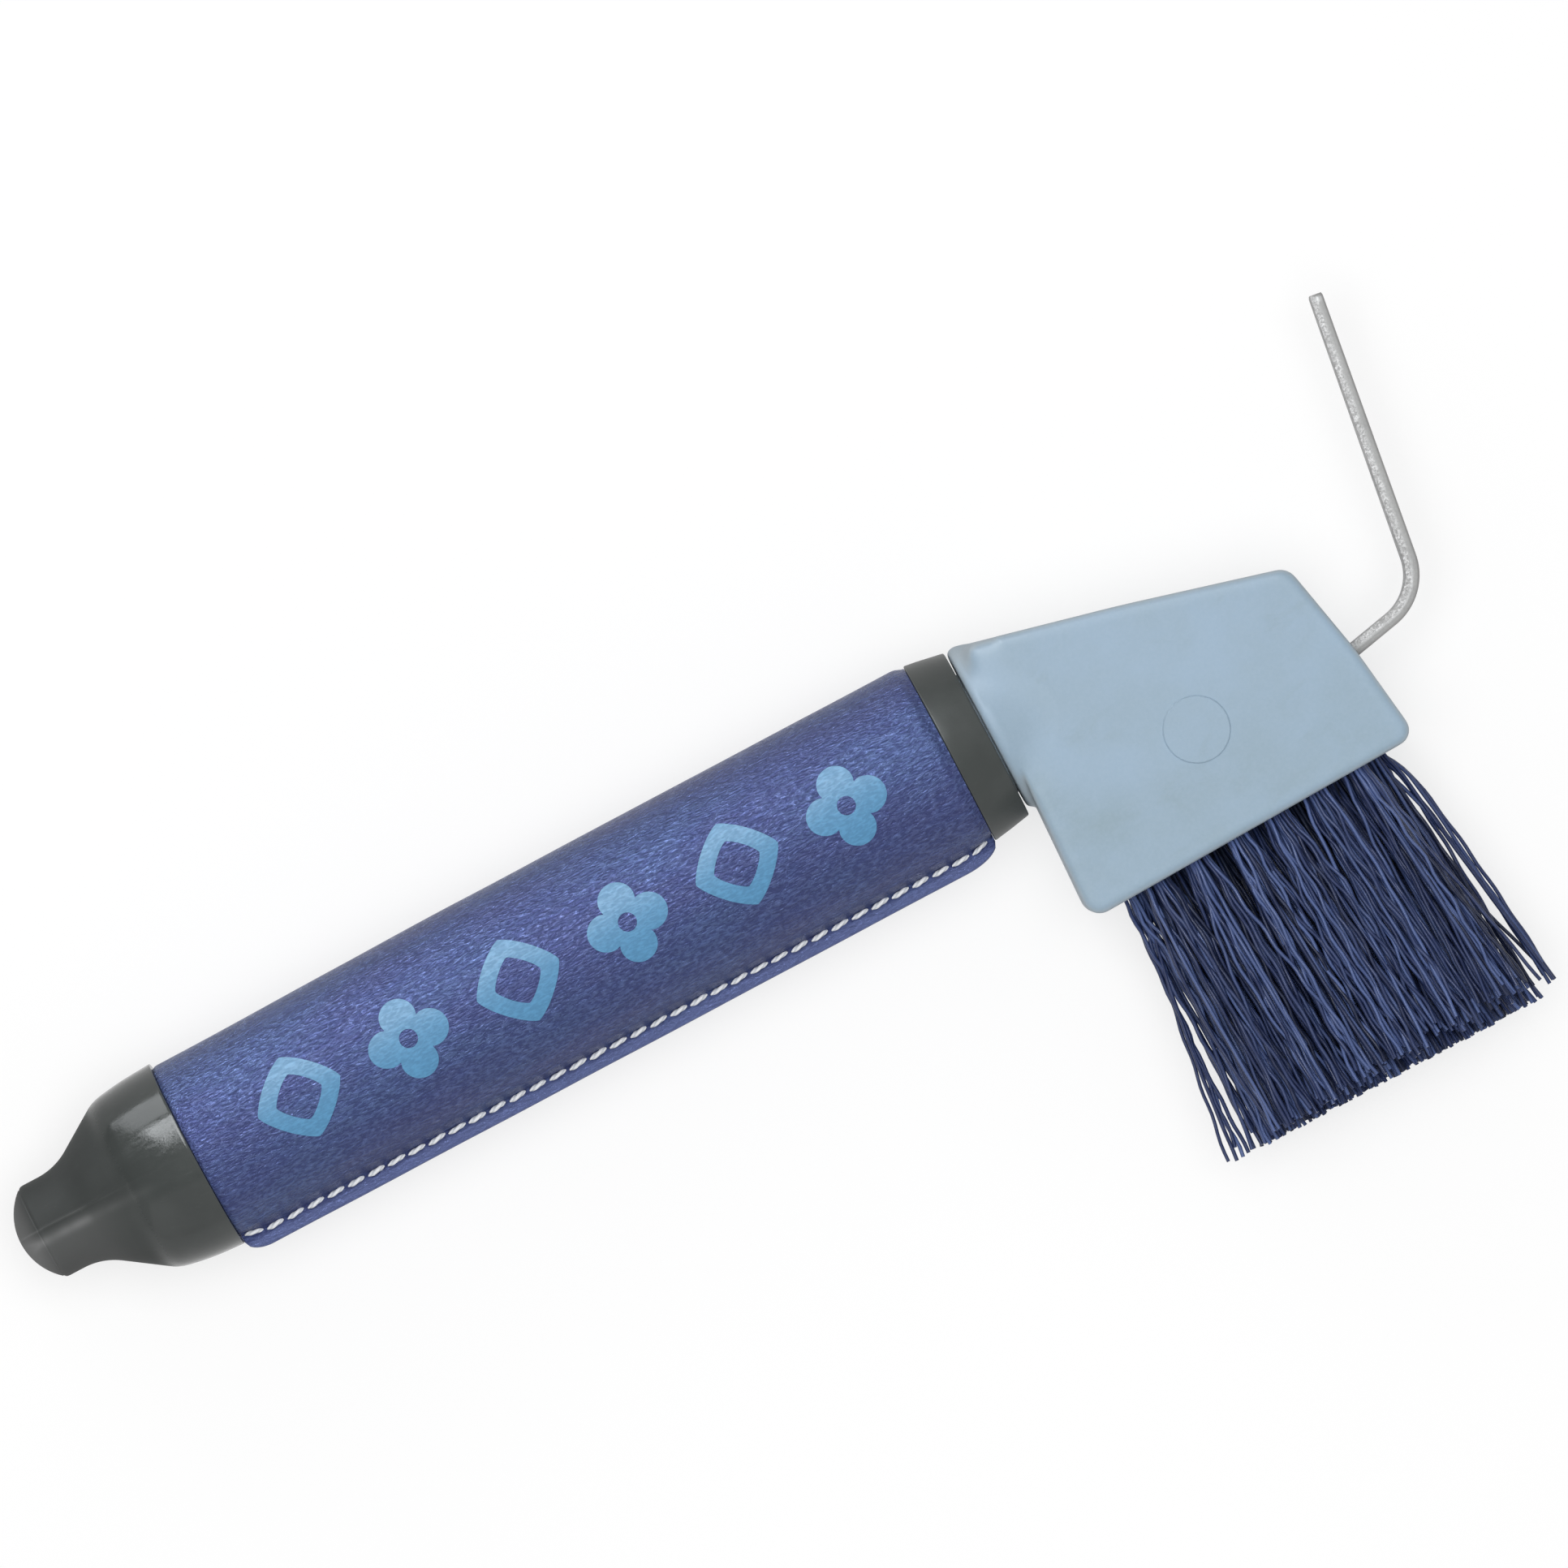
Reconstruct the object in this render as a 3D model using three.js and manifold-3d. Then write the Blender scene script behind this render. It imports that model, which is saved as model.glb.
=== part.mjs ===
// A hoof pick with a brush: a grip covered with a sewn sleeve, a moulded head,
// a bent flat steel pick on one side of the head and tufts of bristle on the other.
//
// The pieces are modelled on the grip's own axis: +X runs along the grip towards
// the head, +Y towards the pick, and the grip's front end is at X = 0. The tool
// lies on its side, so Z is its thickness. At the end the whole assembly moves
// so that the origin is under the centre of its bounding box. Millimetres.
import * as THREE from "three";
import { mergeVertices } from "three/addons/utils/BufferGeometryUtils.js";
import Module from "manifold-3d";

const wasm = await Module();
wasm.setup();

// ---------------------------------------------------------------- driving dimensions
const gap = 0.25; // between pieces that butt against each other
const slip = 0.15; // around pieces that fit inside each other

// Grip
const gripLength = 116.1;
const gripRadius = 13.5;
const leather = 1.5; // thickness of the sleeve's sheet
const flangeDepth = 15.75; // how far the sewn flange reaches below the axis
const flangeHalf = 1.35; // half the flange's thickness
const flangeSlit = 0.24; // between the flange's two layers
const creaseDepth = 12.85; // level of the crease where the stitches lie
const coreRadius = gripRadius - leather - slip;
const coreBore = 9.2;
const coreInset = 0.2; // the core's ends stop short of the sleeve's ends

// Seam
const stitchPitch = 3.1;
const stitchSlant = 0.25; // how far a stitch's ends lie off the seam line
const threadRadius = 0.3;
const seamDepth = 13.5; // level of the seam line
const seamOut = 2.1; // the thread's distance from the middle plane
const seamDip = 0.2; // how far the thread sinks at each needle hole
const seamMargin = 2.0; // from the last stitch to the sleeve's end

// Butt cap
const capLip = 13.9;
const capShoulder = 12.65;
const capShoulderBack = 9.6; // shoulder's distance behind the lip
const capWaist = 6.95;
const capWaistBack = 20.9; // front end of the waist behind the lip
const capFlareRadius = 9.0; // concave arc between waist and flare
const capFlareAngle = 33.5; // degrees
const capNoseBack = 23.6; // edge of the nose dome behind the lip
const capLength = 27.1;
const capSpigotLength = 20;
const capBore = 6;
const capBoreLength = 12; // how far the bore reaches behind the lip

// Collar
const collarLength = 5.75;
const collarRear = 13.5;
const collarFront = 12.5;
const collarEdge = 0.3;

// Head
const headThickness = 20;
const headBevel = 1.5;
const headRearTop = [8.6, 12.23];
const headTopBow = [30, 6.95]; // the top edge bows slightly outwards here
const headFrontTop = [52.6, 0.75];
const headFrontMid = [55.5, -13.3];
const headFrontLow = [57.4, -27.7];
const headRearLow = [6.4, -29.2];
const neckRadius = 12.05;
const neckOffset = 0.4; // the neck stands a little above the grip's axis
const neckEdge = 0.7;
const neckFade = 16; // where the round neck has sunk into the block's flat side
const tangRadius = coreBore - slip;
const tangLength = 60;
const gateMark = { x: 31.25, y: -12.9, radius: 4.55, height: 0.15 }; // a low raised disc

// Pick
const pickThickness = 2.0;
const pickWidth = 9.0;
const pickTipWidth = 6.6;
const pickTipCorner = 1.2;
const pickExit = [55.5, -13.45];
const shankAngle = 11.5; // degrees above the grip's axis
const bladeAngle = 81.6;
const pickTail = 22; // length held in the head
const shankLength = 6.65; // from the head to the start of the bend
const bendRadius = 7.75; // on the centre line
const bladeLength = 38.1; // from the end of the bend to the tip
const tailNotch = { back: 14, length: 5, depth: 1.4 };

// Bristles
const tuftPitch = 6.2;
const tuftRows = [
  { name: "a", z: 5.4, first: 16.7, count: 6 },
  { name: "b", z: 0, first: 13.6, count: 7 },
  { name: "c", z: -5.4, first: 16.7, count: 6 },
];
const holeRadius = 2.1;
const holeDepth = 8.5;
const tuftRoot = 1.9;
const tuftTip = 2.9;
const tuftEnd = -67.9; // level of the trimmed ends
const tuftLeanRear = 1.0; // how far the rearmost tuft leans forward
const tuftLeanFront = 3.2; // and the foremost one
const tuftSplay = 1.3; // how far an outer row leans outwards
const anchor = { length: 5.0, height: 2.0, thickness: 0.4, lift: 1.2 };

// ---------------------------------------------------------------- materials
const standard = (color, roughness, metalness = 0) =>
  new THREE.MeshStandardMaterial({ color, roughness, metalness });
const headPlastic = standard(0xa3bbcf, 0.55);
const trimPlastic = standard(0x4a4f50, 0.4);
const corePlastic = standard(0xd9d6cc, 0.6);
const sleeveLeather = standard(0x434b8a, 0.5);
const seamThread = standard(0xdcdfe0, 0.8);
const pickSteel = standard(0xbcbcba, 0.35, 1);
const anchorWire = standard(0xc9b173, 0.35, 1);
const bristle = standard(0x3c5087, 0.45);

// ---------------------------------------------------------------- solids
function solid(geometry) {
  const bare = geometry.clone();
  bare.deleteAttribute("normal");
  bare.deleteAttribute("uv");
  const merged = mergeVertices(bare, 1e-4);
  return new wasm.Manifold(
    new wasm.Mesh({
      numProp: 3,
      vertProperties: merged.getAttribute("position").array,
      triVerts: new Uint32Array(merged.index.array),
    }),
  );
}

function geometryOf(manifold) {
  const mesh = manifold.getMesh();
  const geometry = new THREE.BufferGeometry();
  geometry.setAttribute("position", new THREE.BufferAttribute(mesh.vertProperties, 3));
  geometry.setIndex(new THREE.BufferAttribute(mesh.triVerts, 1));
  const faceted = geometry.toNonIndexed();
  faceted.computeVertexNormals();
  return faceted;
}

function box(x0, x1, y0, y1, z0, z1) {
  return new THREE.BoxGeometry(x1 - x0, y1 - y0, z1 - z0).translate(
    (x0 + x1) / 2,
    (y0 + y1) / 2,
    (z0 + z1) / 2,
  );
}

// A body of revolution about the X axis. The profile's points are [x, radius],
// from the rear end to the front along the outside.
function turned(profile, segments) {
  const points = profile.map(([x, radius]) => new THREE.Vector2(radius, x));
  return new THREE.LatheGeometry(points, segments).rotateZ(-Math.PI / 2);
}

// A rod along X.
const rod = (radius, x0, x1, segments) =>
  new THREE.CylinderGeometry(radius, radius, x1 - x0, segments)
    .rotateZ(-Math.PI / 2)
    .translate((x0 + x1) / 2, 0, 0);

// A shape in the XY plane made into a plate that is centred on Z = 0.
function plate(shape, thickness, bevel = 0, curveSegments = 6) {
  return new THREE.ExtrudeGeometry(shape, {
    depth: thickness - 2 * bevel,
    bevelEnabled: bevel > 0,
    bevelThickness: bevel,
    bevelSize: bevel,
    bevelOffset: -bevel,
    bevelSegments: 2,
    curveSegments,
  }).translate(0, 0, bevel - thickness / 2);
}

// An outline through corners [x, y, radius], counter-clockwise, each one rounded.
function roundedShape(corners) {
  const shape = new THREE.Shape();
  corners.forEach(([x, y, radius], i) => {
    const corner = new THREE.Vector2(x, y);
    const towards = ([otherX, otherY]) => new THREE.Vector2(otherX, otherY).sub(corner).normalize();
    const back = towards(corners.at(i - 1));
    const ahead = towards(corners[(i + 1) % corners.length]);
    const turn = Math.PI - back.angleTo(ahead);
    const centre = back.clone().add(ahead).setLength(radius / Math.cos(turn / 2)).add(corner);
    const start = Math.atan2(back.x, -back.y);
    shape.absarc(centre.x, centre.y, radius, start, start + turn, false);
  });
  shape.closePath();
  return shape;
}

const radians = THREE.MathUtils.degToRad;

// ---------------------------------------------------------------- grip
const gripRear = -gripLength - gap;
const gripFront = -gap;

function sleeve() {
  const inner = gripRadius - leather;
  const slit = flangeSlit / 2;
  const openAngle = radians(20); // where the outside leaves the circle, either side of the flange
  const start = -Math.PI / 2 + openAngle;
  const end = (3 * Math.PI) / 2 - openAngle;
  const section = new THREE.Shape();
  section.moveTo(slit, -flangeDepth);
  section.lineTo(flangeHalf - 0.3, -flangeDepth);
  section.lineTo(flangeHalf, -flangeDepth + 0.4);
  section.lineTo(flangeHalf, -creaseDepth - 0.3);
  section.lineTo(flangeHalf + 0.4, -creaseDepth);
  section.lineTo(flangeHalf + 1.6, -creaseDepth - 0.05);
  section.absarc(0, 0, gripRadius, start, end, false);
  section.lineTo(-flangeHalf - 1.6, -creaseDepth - 0.05);
  section.lineTo(-flangeHalf - 0.4, -creaseDepth);
  section.lineTo(-flangeHalf, -creaseDepth - 0.3);
  section.lineTo(-flangeHalf, -flangeDepth + 0.4);
  section.lineTo(-flangeHalf + 0.3, -flangeDepth);
  section.lineTo(-slit, -flangeDepth);
  const slitAngle = Math.asin(slit / inner);
  section.absarc(0, 0, inner, (3 * Math.PI) / 2 - slitAngle, -Math.PI / 2 + slitAngle, true);
  section.closePath();
  const sheet = new THREE.ExtrudeGeometry(section, {
    depth: gripLength,
    bevelEnabled: false,
    curveSegments: 40,
  })
    .rotateY(Math.PI / 2)
    .translate(gripRear, 0, 0);

  // The flange's ends are cut round.
  const side = new THREE.Shape();
  const above = gripRadius + 1;
  side.moveTo(gripRear - 1, above);
  side.lineTo(gripRear - 1, -gripRadius);
  side.lineTo(gripRear, -gripRadius - 0.1);
  side.quadraticCurveTo(gripRear + 0.6, -flangeDepth, gripRear + 3.6, -flangeDepth - 0.01);
  side.lineTo(gripFront - 5.5, -flangeDepth - 0.01);
  side.quadraticCurveTo(gripFront - 1.2, -flangeDepth, gripFront, -gripRadius);
  side.lineTo(gripFront + 1, -gripRadius);
  side.lineTo(gripFront + 1, above);
  side.closePath();
  return solid(sheet).intersect(solid(plate(side, 2 * gripRadius + 2)));
}

function gripCore() {
  const tube = new THREE.Shape().absarc(0, 0, coreRadius, 0, 2 * Math.PI, false);
  tube.holes.push(new THREE.Path().absarc(0, 0, coreBore, 0, 2 * Math.PI, true));
  const length = gripLength - 2 * coreInset;
  return new THREE.ExtrudeGeometry(tube, { depth: length, bevelEnabled: false, curveSegments: 36 })
    .rotateY(Math.PI / 2)
    .translate(gripRear + coreInset, 0, 0);
}

// One side's thread: slanted stitches on the surface, sinking at each needle hole.
function thread(side) {
  const points = [];
  const stitches = Math.floor((gripLength - 2 * seamMargin) / stitchPitch);
  for (let i = 0; i <= stitches; i++) {
    const x = gripRear + seamMargin + i * stitchPitch;
    const low = -seamDepth - stitchSlant;
    const high = -seamDepth + stitchSlant;
    points.push(new THREE.Vector3(x, low, side * (seamOut - seamDip)));
    if (i < stitches)
      points.push(new THREE.Vector3(x + 0.8 * stitchPitch, high, side * seamOut));
  }
  const route = new THREE.CatmullRomCurve3(points);
  const section = new THREE.Shape().absarc(0, 0, threadRadius, 0, 2 * Math.PI, false);
  return new THREE.ExtrudeGeometry(section, {
    steps: 3 * stitches,
    curveSegments: 3,
    extrudePath: route,
  });
}

// ---------------------------------------------------------------- butt cap
function buttCap() {
  const lip = gripRear - gap;
  const tip = lip - capLength;
  const noseEdge = lip - capNoseBack;
  const rise = noseEdge - tip;
  const noseRadius = (capWaist ** 2 + rise ** 2) / (2 * rise);
  const profile = [[tip, 0]];
  for (let i = 1; i <= 6; i++) {
    const x = tip + (rise * i ** 2) / 36;
    profile.push([x, Math.sqrt(noseRadius ** 2 - (tip + noseRadius - x) ** 2)]);
  }
  const waistFront = lip - capWaistBack;
  for (let i = 0; i <= 4; i++) {
    const angle = radians((capFlareAngle * i) / 4);
    profile.push([
      waistFront + capFlareRadius * Math.sin(angle),
      capWaist + capFlareRadius * (1 - Math.cos(angle)),
    ]);
  }
  const shoulder = new THREE.QuadraticBezierCurve(
    new THREE.Vector2(lip - capShoulderBack, capShoulder),
    new THREE.Vector2(lip - 6, capLip - 0.15),
    new THREE.Vector2(lip, capLip),
  );
  for (const point of shoulder.getPoints(4)) profile.push([point.x, point.y]);
  const spigot = coreBore - slip;
  profile.push([lip, spigot]);
  profile.push([lip + capSpigotLength - 0.8, spigot]);
  profile.push([lip + capSpigotLength, spigot - 0.8]);
  profile.push([lip + capSpigotLength, capBore]);
  profile.push([lip - capBoreLength, capBore]);
  profile.push([lip - capBoreLength - 2, 0]);
  return turned(profile, 32);
}

// ---------------------------------------------------------------- collar
function collar() {
  const profile = [
    [0, coreBore],
    [0, collarRear - collarEdge],
    [collarEdge, collarRear],
    [0.35 * collarLength, (collarRear + collarFront) / 2 + 0.1],
    [collarLength - collarEdge, collarFront],
    [collarLength, collarFront - collarEdge],
    [collarLength, coreBore],
    [0, coreBore],
  ];
  return turned(profile, 36);
}

// ---------------------------------------------------------------- head
// The brush face slopes slightly, so its level depends on X.
function brushFace(x) {
  const [x0, y0] = headRearLow;
  const [x1, y1] = headFrontLow;
  return y0 + ((x - x0) * (y1 - y0)) / (x1 - x0);
}

// The tuft holes: place of each one, its name, and how far its tuft leans.
const tuftHoles = tuftRows.flatMap(({ name, z, first, count }) =>
  Array.from({ length: count }, (_, i) => {
    const x = first + i * tuftPitch;
    const rear = tuftRows[1].first;
    const span = (tuftRows[1].count - 1) * tuftPitch;
    const forward = (x - rear) / span;
    return {
      name: name + (i + 1),
      x,
      z,
      bottom: brushFace(x) + holeDepth,
      lean: tuftLeanRear + forward * (tuftLeanFront - tuftLeanRear),
      splay: Math.sign(z) * tuftSplay,
    };
  }),
);

function brushHead() {
  const outline = roundedShape([
    [...headRearTop, 1.9],
    [...headRearLow, 2.4],
    [...headFrontLow, 2.2],
    [...headFrontMid, 30],
    [...headFrontTop, 2.6],
    [...headTopBow, 200],
  ]);
  const neckFace = collarLength + gap;
  const neck = turned(
    [
      [neckFace, 0],
      [neckFace, neckRadius - neckEdge],
      [neckFace + neckEdge, neckRadius],
      [neckFace + 2, neckRadius - 0.2],
      [neckFade, headThickness / 2 - 0.3],
      [neckFade, 0],
    ],
    40,
  ).translate(0, neckOffset, 0);
  let head = solid(plate(outline, headThickness, headBevel, 4));
  head = head.add(solid(neck));
  head = head.add(solid(rod(tangRadius, -tangLength, neckFade, 32)));

  for (const { x, z, bottom } of tuftHoles) {
    const below = 3;
    const hole = new THREE.CylinderGeometry(holeRadius, holeRadius, holeDepth + below, 14);
    head = head.subtract(solid(hole.translate(x, bottom - (holeDepth + below) / 2, z)));
    const half = anchor.length / 2 + slip;
    const width = anchor.thickness / 2 + slip;
    const top = bottom - anchor.lift + slip;
    const groove = box(x - width, x + width, bottom - holeDepth - below, top, z - half, z + half);
    head = head.subtract(solid(groove));
  }

  const slot = box(-pickTail - slip, 20, ...around(pickThickness), ...around(pickWidth));
  head = head.subtract(solid(onShank(slot)));

  const sunk = 1;
  const disc = new THREE.CylinderGeometry(gateMark.radius, gateMark.radius, gateMark.height + sunk, 64);
  disc.rotateX(Math.PI / 2);
  disc.translate(gateMark.x, gateMark.y, (headThickness + gateMark.height - sunk) / 2);
  return head.add(solid(disc));
}

// ---------------------------------------------------------------- pick
const around = (size) => [-size / 2 - slip, size / 2 + slip];

// Moves a piece made at the origin, along X, to where the shank leaves the head.
const onShank = (geometry) =>
  geometry.rotateZ(radians(shankAngle)).translate(pickExit[0], pickExit[1], 0);

function pick() {
  // The strip seen from its edge, in the shank's own frame: shank, bend and blade.
  const bend = radians(bladeAngle - shankAngle);
  const half = pickThickness / 2;
  const blade = new THREE.Vector2(Math.cos(bend), Math.sin(bend));
  const acrossBlade = new THREE.Vector2(-blade.y, blade.x);
  const bendCentre = new THREE.Vector2(shankLength, bendRadius);
  const tip = bendCentre.clone();
  tip.addScaledVector(acrossBlade, -bendRadius);
  tip.addScaledVector(blade, bladeLength);
  const outer = tip.clone().addScaledVector(acrossBlade, -half);
  const inner = tip.clone().addScaledVector(acrossBlade, half);
  const start = -Math.PI / 2;
  const edge = new THREE.Shape();
  edge.moveTo(-pickTail, -half);
  edge.absarc(bendCentre.x, bendCentre.y, bendRadius + half, start, start + bend, false);
  edge.lineTo(outer.x, outer.y);
  edge.lineTo(inner.x, inner.y);
  edge.absarc(bendCentre.x, bendCentre.y, bendRadius - half, start + bend, start, true);
  edge.lineTo(-pickTail, half);
  edge.closePath();
  let strip = solid(onShank(plate(edge, pickWidth, 0, 12)));

  // The blade narrows towards its tip, which has round corners.
  const low = -40;
  const shoulder = -6;
  const top = pickExit[1] + tip.clone().rotateAround(new THREE.Vector2(), radians(shankAngle)).y;
  const wide = pickWidth / 2 + 0.01;
  const narrow = pickTipWidth / 2;
  const front = new THREE.Shape();
  front.moveTo(-wide, low);
  front.lineTo(wide, low);
  front.lineTo(wide, shoulder);
  front.lineTo(narrow, top - pickTipCorner);
  front.quadraticCurveTo(narrow, top + 0.1, narrow - pickTipCorner, top + 0.1);
  front.lineTo(pickTipCorner - narrow, top + 0.1);
  front.quadraticCurveTo(-narrow, top + 0.1, -narrow, top - pickTipCorner);
  front.lineTo(-wide, shoulder);
  front.closePath();
  const planform = plate(front, 240, 0, 4).rotateY(Math.PI / 2);
  strip = strip.intersect(solid(planform));

  // Notches in the tail's edges, which keep it from pulling out of the head.
  for (const side of [-1, 1]) {
    const deep = pickWidth / 2 - tailNotch.depth;
    const [z0, z1] = side > 0 ? [deep, pickWidth] : [-pickWidth, -deep];
    const front = tailNotch.length - tailNotch.back;
    const notch = box(-tailNotch.back, front, -pickThickness, pickThickness, z0, z1);
    strip = strip.subtract(solid(onShank(notch)));
  }
  return strip;
}

// ---------------------------------------------------------------- bristles
// A tuft fills its hole, then spreads and leans on its way to the trimmed ends.
function tuft({ bottom, lean, splay, x, z }) {
  const root = bottom - slip;
  const face = bottom - holeDepth;
  const rings = [
    [root, tuftRoot - 0.5],
    [root - 0.6, tuftRoot],
    [face - 1, tuftRoot],
    [(face + tuftEnd) / 2, (tuftRoot + tuftTip) / 2 + 0.15],
    [tuftEnd, tuftTip],
  ];
  const profile = [[root, 0], ...rings, [tuftEnd, 0]];
  const points = profile.map(([y, radius]) => new THREE.Vector2(radius, y));
  const bundle = new THREE.LatheGeometry(points.reverse(), 12);
  const position = bundle.getAttribute("position");
  for (let i = 0; i < position.count; i++) {
    const y = position.getY(i);
    const free = THREE.MathUtils.clamp((face - y) / (face - tuftEnd), 0, 1);
    position.setX(i, x + position.getX(i) + lean * free);
    position.setZ(i, z + position.getZ(i) + splay * free);
  }
  const width = anchor.thickness / 2 + slip;
  const top = bottom - anchor.lift + slip;
  const low = top - anchor.height - 2 * slip;
  const tunnel = box(x - width, x + width, low, top, z - 2 * tuftRoot, z + 2 * tuftRoot);
  return solid(bundle).subtract(solid(tunnel));
}

function anchorStrip({ bottom, x, z }) {
  const { length, height, thickness, lift } = anchor;
  const top = bottom - lift;
  return box(x - thickness / 2, x + thickness / 2, top - height, top, z - length / 2, z + length / 2);
}

// ---------------------------------------------------------------- assembly
const tool = new THREE.Group();

function place(name, shape, material) {
  const geometry = shape.isBufferGeometry ? shape : geometryOf(shape);
  const mesh = new THREE.Mesh(geometry, material);
  mesh.name = name;
  tool.add(mesh);
}

place("butt_cap", buttCap(), trimPlastic);
place("grip_core", gripCore(), corePlastic);
place("leather_sleeve", sleeve(), sleeveLeather);
place("seam_thread_front", thread(1), seamThread);
place("seam_thread_back", thread(-1), seamThread);
place("collar", collar(), trimPlastic);
place("brush_head", brushHead(), headPlastic);
place("pick", pick(), pickSteel);
for (const hole of tuftHoles) {
  place("tuft_" + hole.name, tuft(hole), bristle);
  place("anchor_" + hole.name, anchorStrip(hole), anchorWire);
}

// The origin goes under the centre of the bounding box.
const bounds = new THREE.Box3().setFromObject(tool);
const centre = bounds.getCenter(new THREE.Vector3());
tool.position.set(-centre.x, -centre.y, -bounds.min.z);

const part = new THREE.Group();
part.add(tool);
export default part;
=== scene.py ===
"""A hoof pick with a brush, lying on its side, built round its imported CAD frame.

Lengths in this script are millimetres on the grip's own axis, unless a name says
otherwise: X runs along the grip towards the head and is 0 at the grip's front end,
Y runs towards the pick, and Z stands out of the side that shows.
"""
import bmesh
import bpy
import math
import random
from contextlib import contextmanager
from mathutils import Matrix, Vector, noise


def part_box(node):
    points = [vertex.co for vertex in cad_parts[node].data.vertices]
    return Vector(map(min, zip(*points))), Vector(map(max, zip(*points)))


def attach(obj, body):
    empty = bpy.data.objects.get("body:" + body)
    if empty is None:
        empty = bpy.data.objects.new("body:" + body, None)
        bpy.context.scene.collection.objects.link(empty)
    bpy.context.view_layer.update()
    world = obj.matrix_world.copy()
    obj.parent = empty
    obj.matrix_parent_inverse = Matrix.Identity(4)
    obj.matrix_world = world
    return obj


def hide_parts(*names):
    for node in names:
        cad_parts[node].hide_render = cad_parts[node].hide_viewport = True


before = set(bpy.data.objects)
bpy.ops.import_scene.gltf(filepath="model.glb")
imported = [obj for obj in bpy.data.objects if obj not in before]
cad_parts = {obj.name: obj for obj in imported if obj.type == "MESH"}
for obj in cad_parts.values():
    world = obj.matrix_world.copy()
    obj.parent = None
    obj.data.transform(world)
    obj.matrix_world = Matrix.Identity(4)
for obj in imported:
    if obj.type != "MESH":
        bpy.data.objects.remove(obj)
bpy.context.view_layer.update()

MM = 0.001
BODY = "root"

# ---- sizes from the frame
collar_low, collar_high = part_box("collar")
sleeve_low, sleeve_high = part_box("leather_sleeve")
cap_low, cap_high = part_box("butt_cap")
head_low, head_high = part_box("brush_head")
pick_low, pick_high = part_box("pick")

AXIS = Vector((collar_low.x, (collar_low.y + collar_high.y) / 2, (collar_low.z + collar_high.z) / 2))


def along(metres):
    """A row-frame X in millimetres on the grip's axis."""
    return (metres - AXIS.x) / MM


def across(metres):
    """A row-frame Y in millimetres from the grip's axis."""
    return (metres - AXIS.y) / MM


def place(x, y, z):
    """A point on the grip's axis frame, in the row frame in metres."""
    return AXIS + Vector((x, y, z)) * MM


# How far the sleeve runs past the CAD one at each end, to close the seams there.
SNUG = 0.18
SLEEVE_REAR = along(sleeve_low.x) - SNUG
SLEEVE_FRONT = along(sleeve_high.x) + SNUG
GRIP_RADIUS = (sleeve_high.z - sleeve_low.z) / 2 / MM
FLANGE_LOW = across(sleeve_low.y)
CAP_RADIUS = (cap_high.z - cap_low.z) / 2 / MM
CAP_TIP = along(cap_low.x)
COLLAR_LENGTH = along(collar_high.x)
COLLAR_RADIUS = (collar_high.z - collar_low.z) / 2 / MM
HEAD_TOP = across(head_high.y)
HEAD_LOW = across(head_low.y)
HEAD_FRONT = along(head_high.x)
PICK_WIDTH = (pick_high.z - pick_low.z) / MM

# ---- driving dimensions
CORE_BORE = 9.2
BORE_FIT = 0.15
CAP_GAP = 0.25
LIP = SLEEVE_REAR + SNUG - CAP_GAP  # the cap's edge

LEATHER = 1.5
FLANGE_HALF = 1.35
SLIT_HALF = 0.1
CREASE = -12.95
REAR_THINNER = 0.42

STITCH_PITCH = 3.12
STITCH_LENGTH = 2.7
STITCH_LEVEL = -13.66
STITCH_RADIUS = 0.385
STITCH_SLOPE = math.radians(6)
STITCH_PROUD = 0.6

MOTIF_SIZE = 5.9
MOTIF_STROKE = 2.1
MOTIF_COUNT = 6
MOTIF_FIRST, MOTIF_LAST = -100.2, -15.8

# The corners of the head's outline are given before they are rounded.
HEAD_HALF = 10.0
HEAD_EDGE = 1.2
HEAD_REAR_TOP = (8.2, HEAD_TOP - 0.12)
HEAD_BOW = (30, 6.95)
HEAD_FRONT_TOP = (52.6, 0.75)
HEAD_FRONT_MID = (55.5, -13.3)
HEAD_FRONT_LOW = (HEAD_FRONT + 0.3, HEAD_LOW + 1.42)
HEAD_REAR_LOW = (6.4, HEAD_LOW - 0.08)
NECK_RADIUS = 12.25
NECK_OFFSET = 0.4
NECK_FLATTENED = 0.93
MOULD_MARK = (31.25, -12.9)
MOULD_MARK_RADIUS = 4.5
MOULD_MARK_HEIGHT = 0.2
TANG_REAR = -60.0

SHANK_ANGLE = math.radians(11.5)
BLADE_ANGLE = math.radians(81.6)
SHANK_ROOT = (55.5, -13.45)
PICK_TAIL = 22.0
SHANK_LENGTH = 6.65
BEND_RADIUS = 7.75
BLADE_LENGTH = 38.05
STRIP = 1.96
STRIP_TIP = 1.8
TIP_WIDTH = 6.6

TUFT_PITCH = 6.2
HOLE_RADIUS = 2.1
HOLE_DEPTH = 8.5
FILAMENT = 0.27
FILAMENTS = 44
LOOSE_TUFT = "b7"
LOOSE_FILAMENTS = 26
TRIM = -67.55
# The cut ends, (x, y), of the filaments that stand apart from their tufts.
STRAYS = {
    "b1": [(7.1, -67.3), (8.2, -67.7), (9.7, -66.0), (10.8, -67.5)],
    "b7": [(58.9, -63.4), (58.0, -66.2), (57.2, -65.0), (56.0, -65.6), (54.9, -65.2), (56.6, -66.4)],
    "a6": [(55.6, -64.6), (54.2, -65.4)],
}

VIEW_MIDDLE = (-21.92, 6.94)
VIEW_WIDTH = 214.667
VIEW_ROLL = math.radians(-28)


def smooth(value, low, high):
    """0 below low, 1 above high, and an even S-curve between."""
    t = min(max((value - low) / (high - low), 0.0), 1.0)
    return t * t * (3 - 2 * t)


def full_turn(count):
    """Angles evenly spaced round a full turn."""
    return [math.tau * i / count for i in range(count)]


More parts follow.
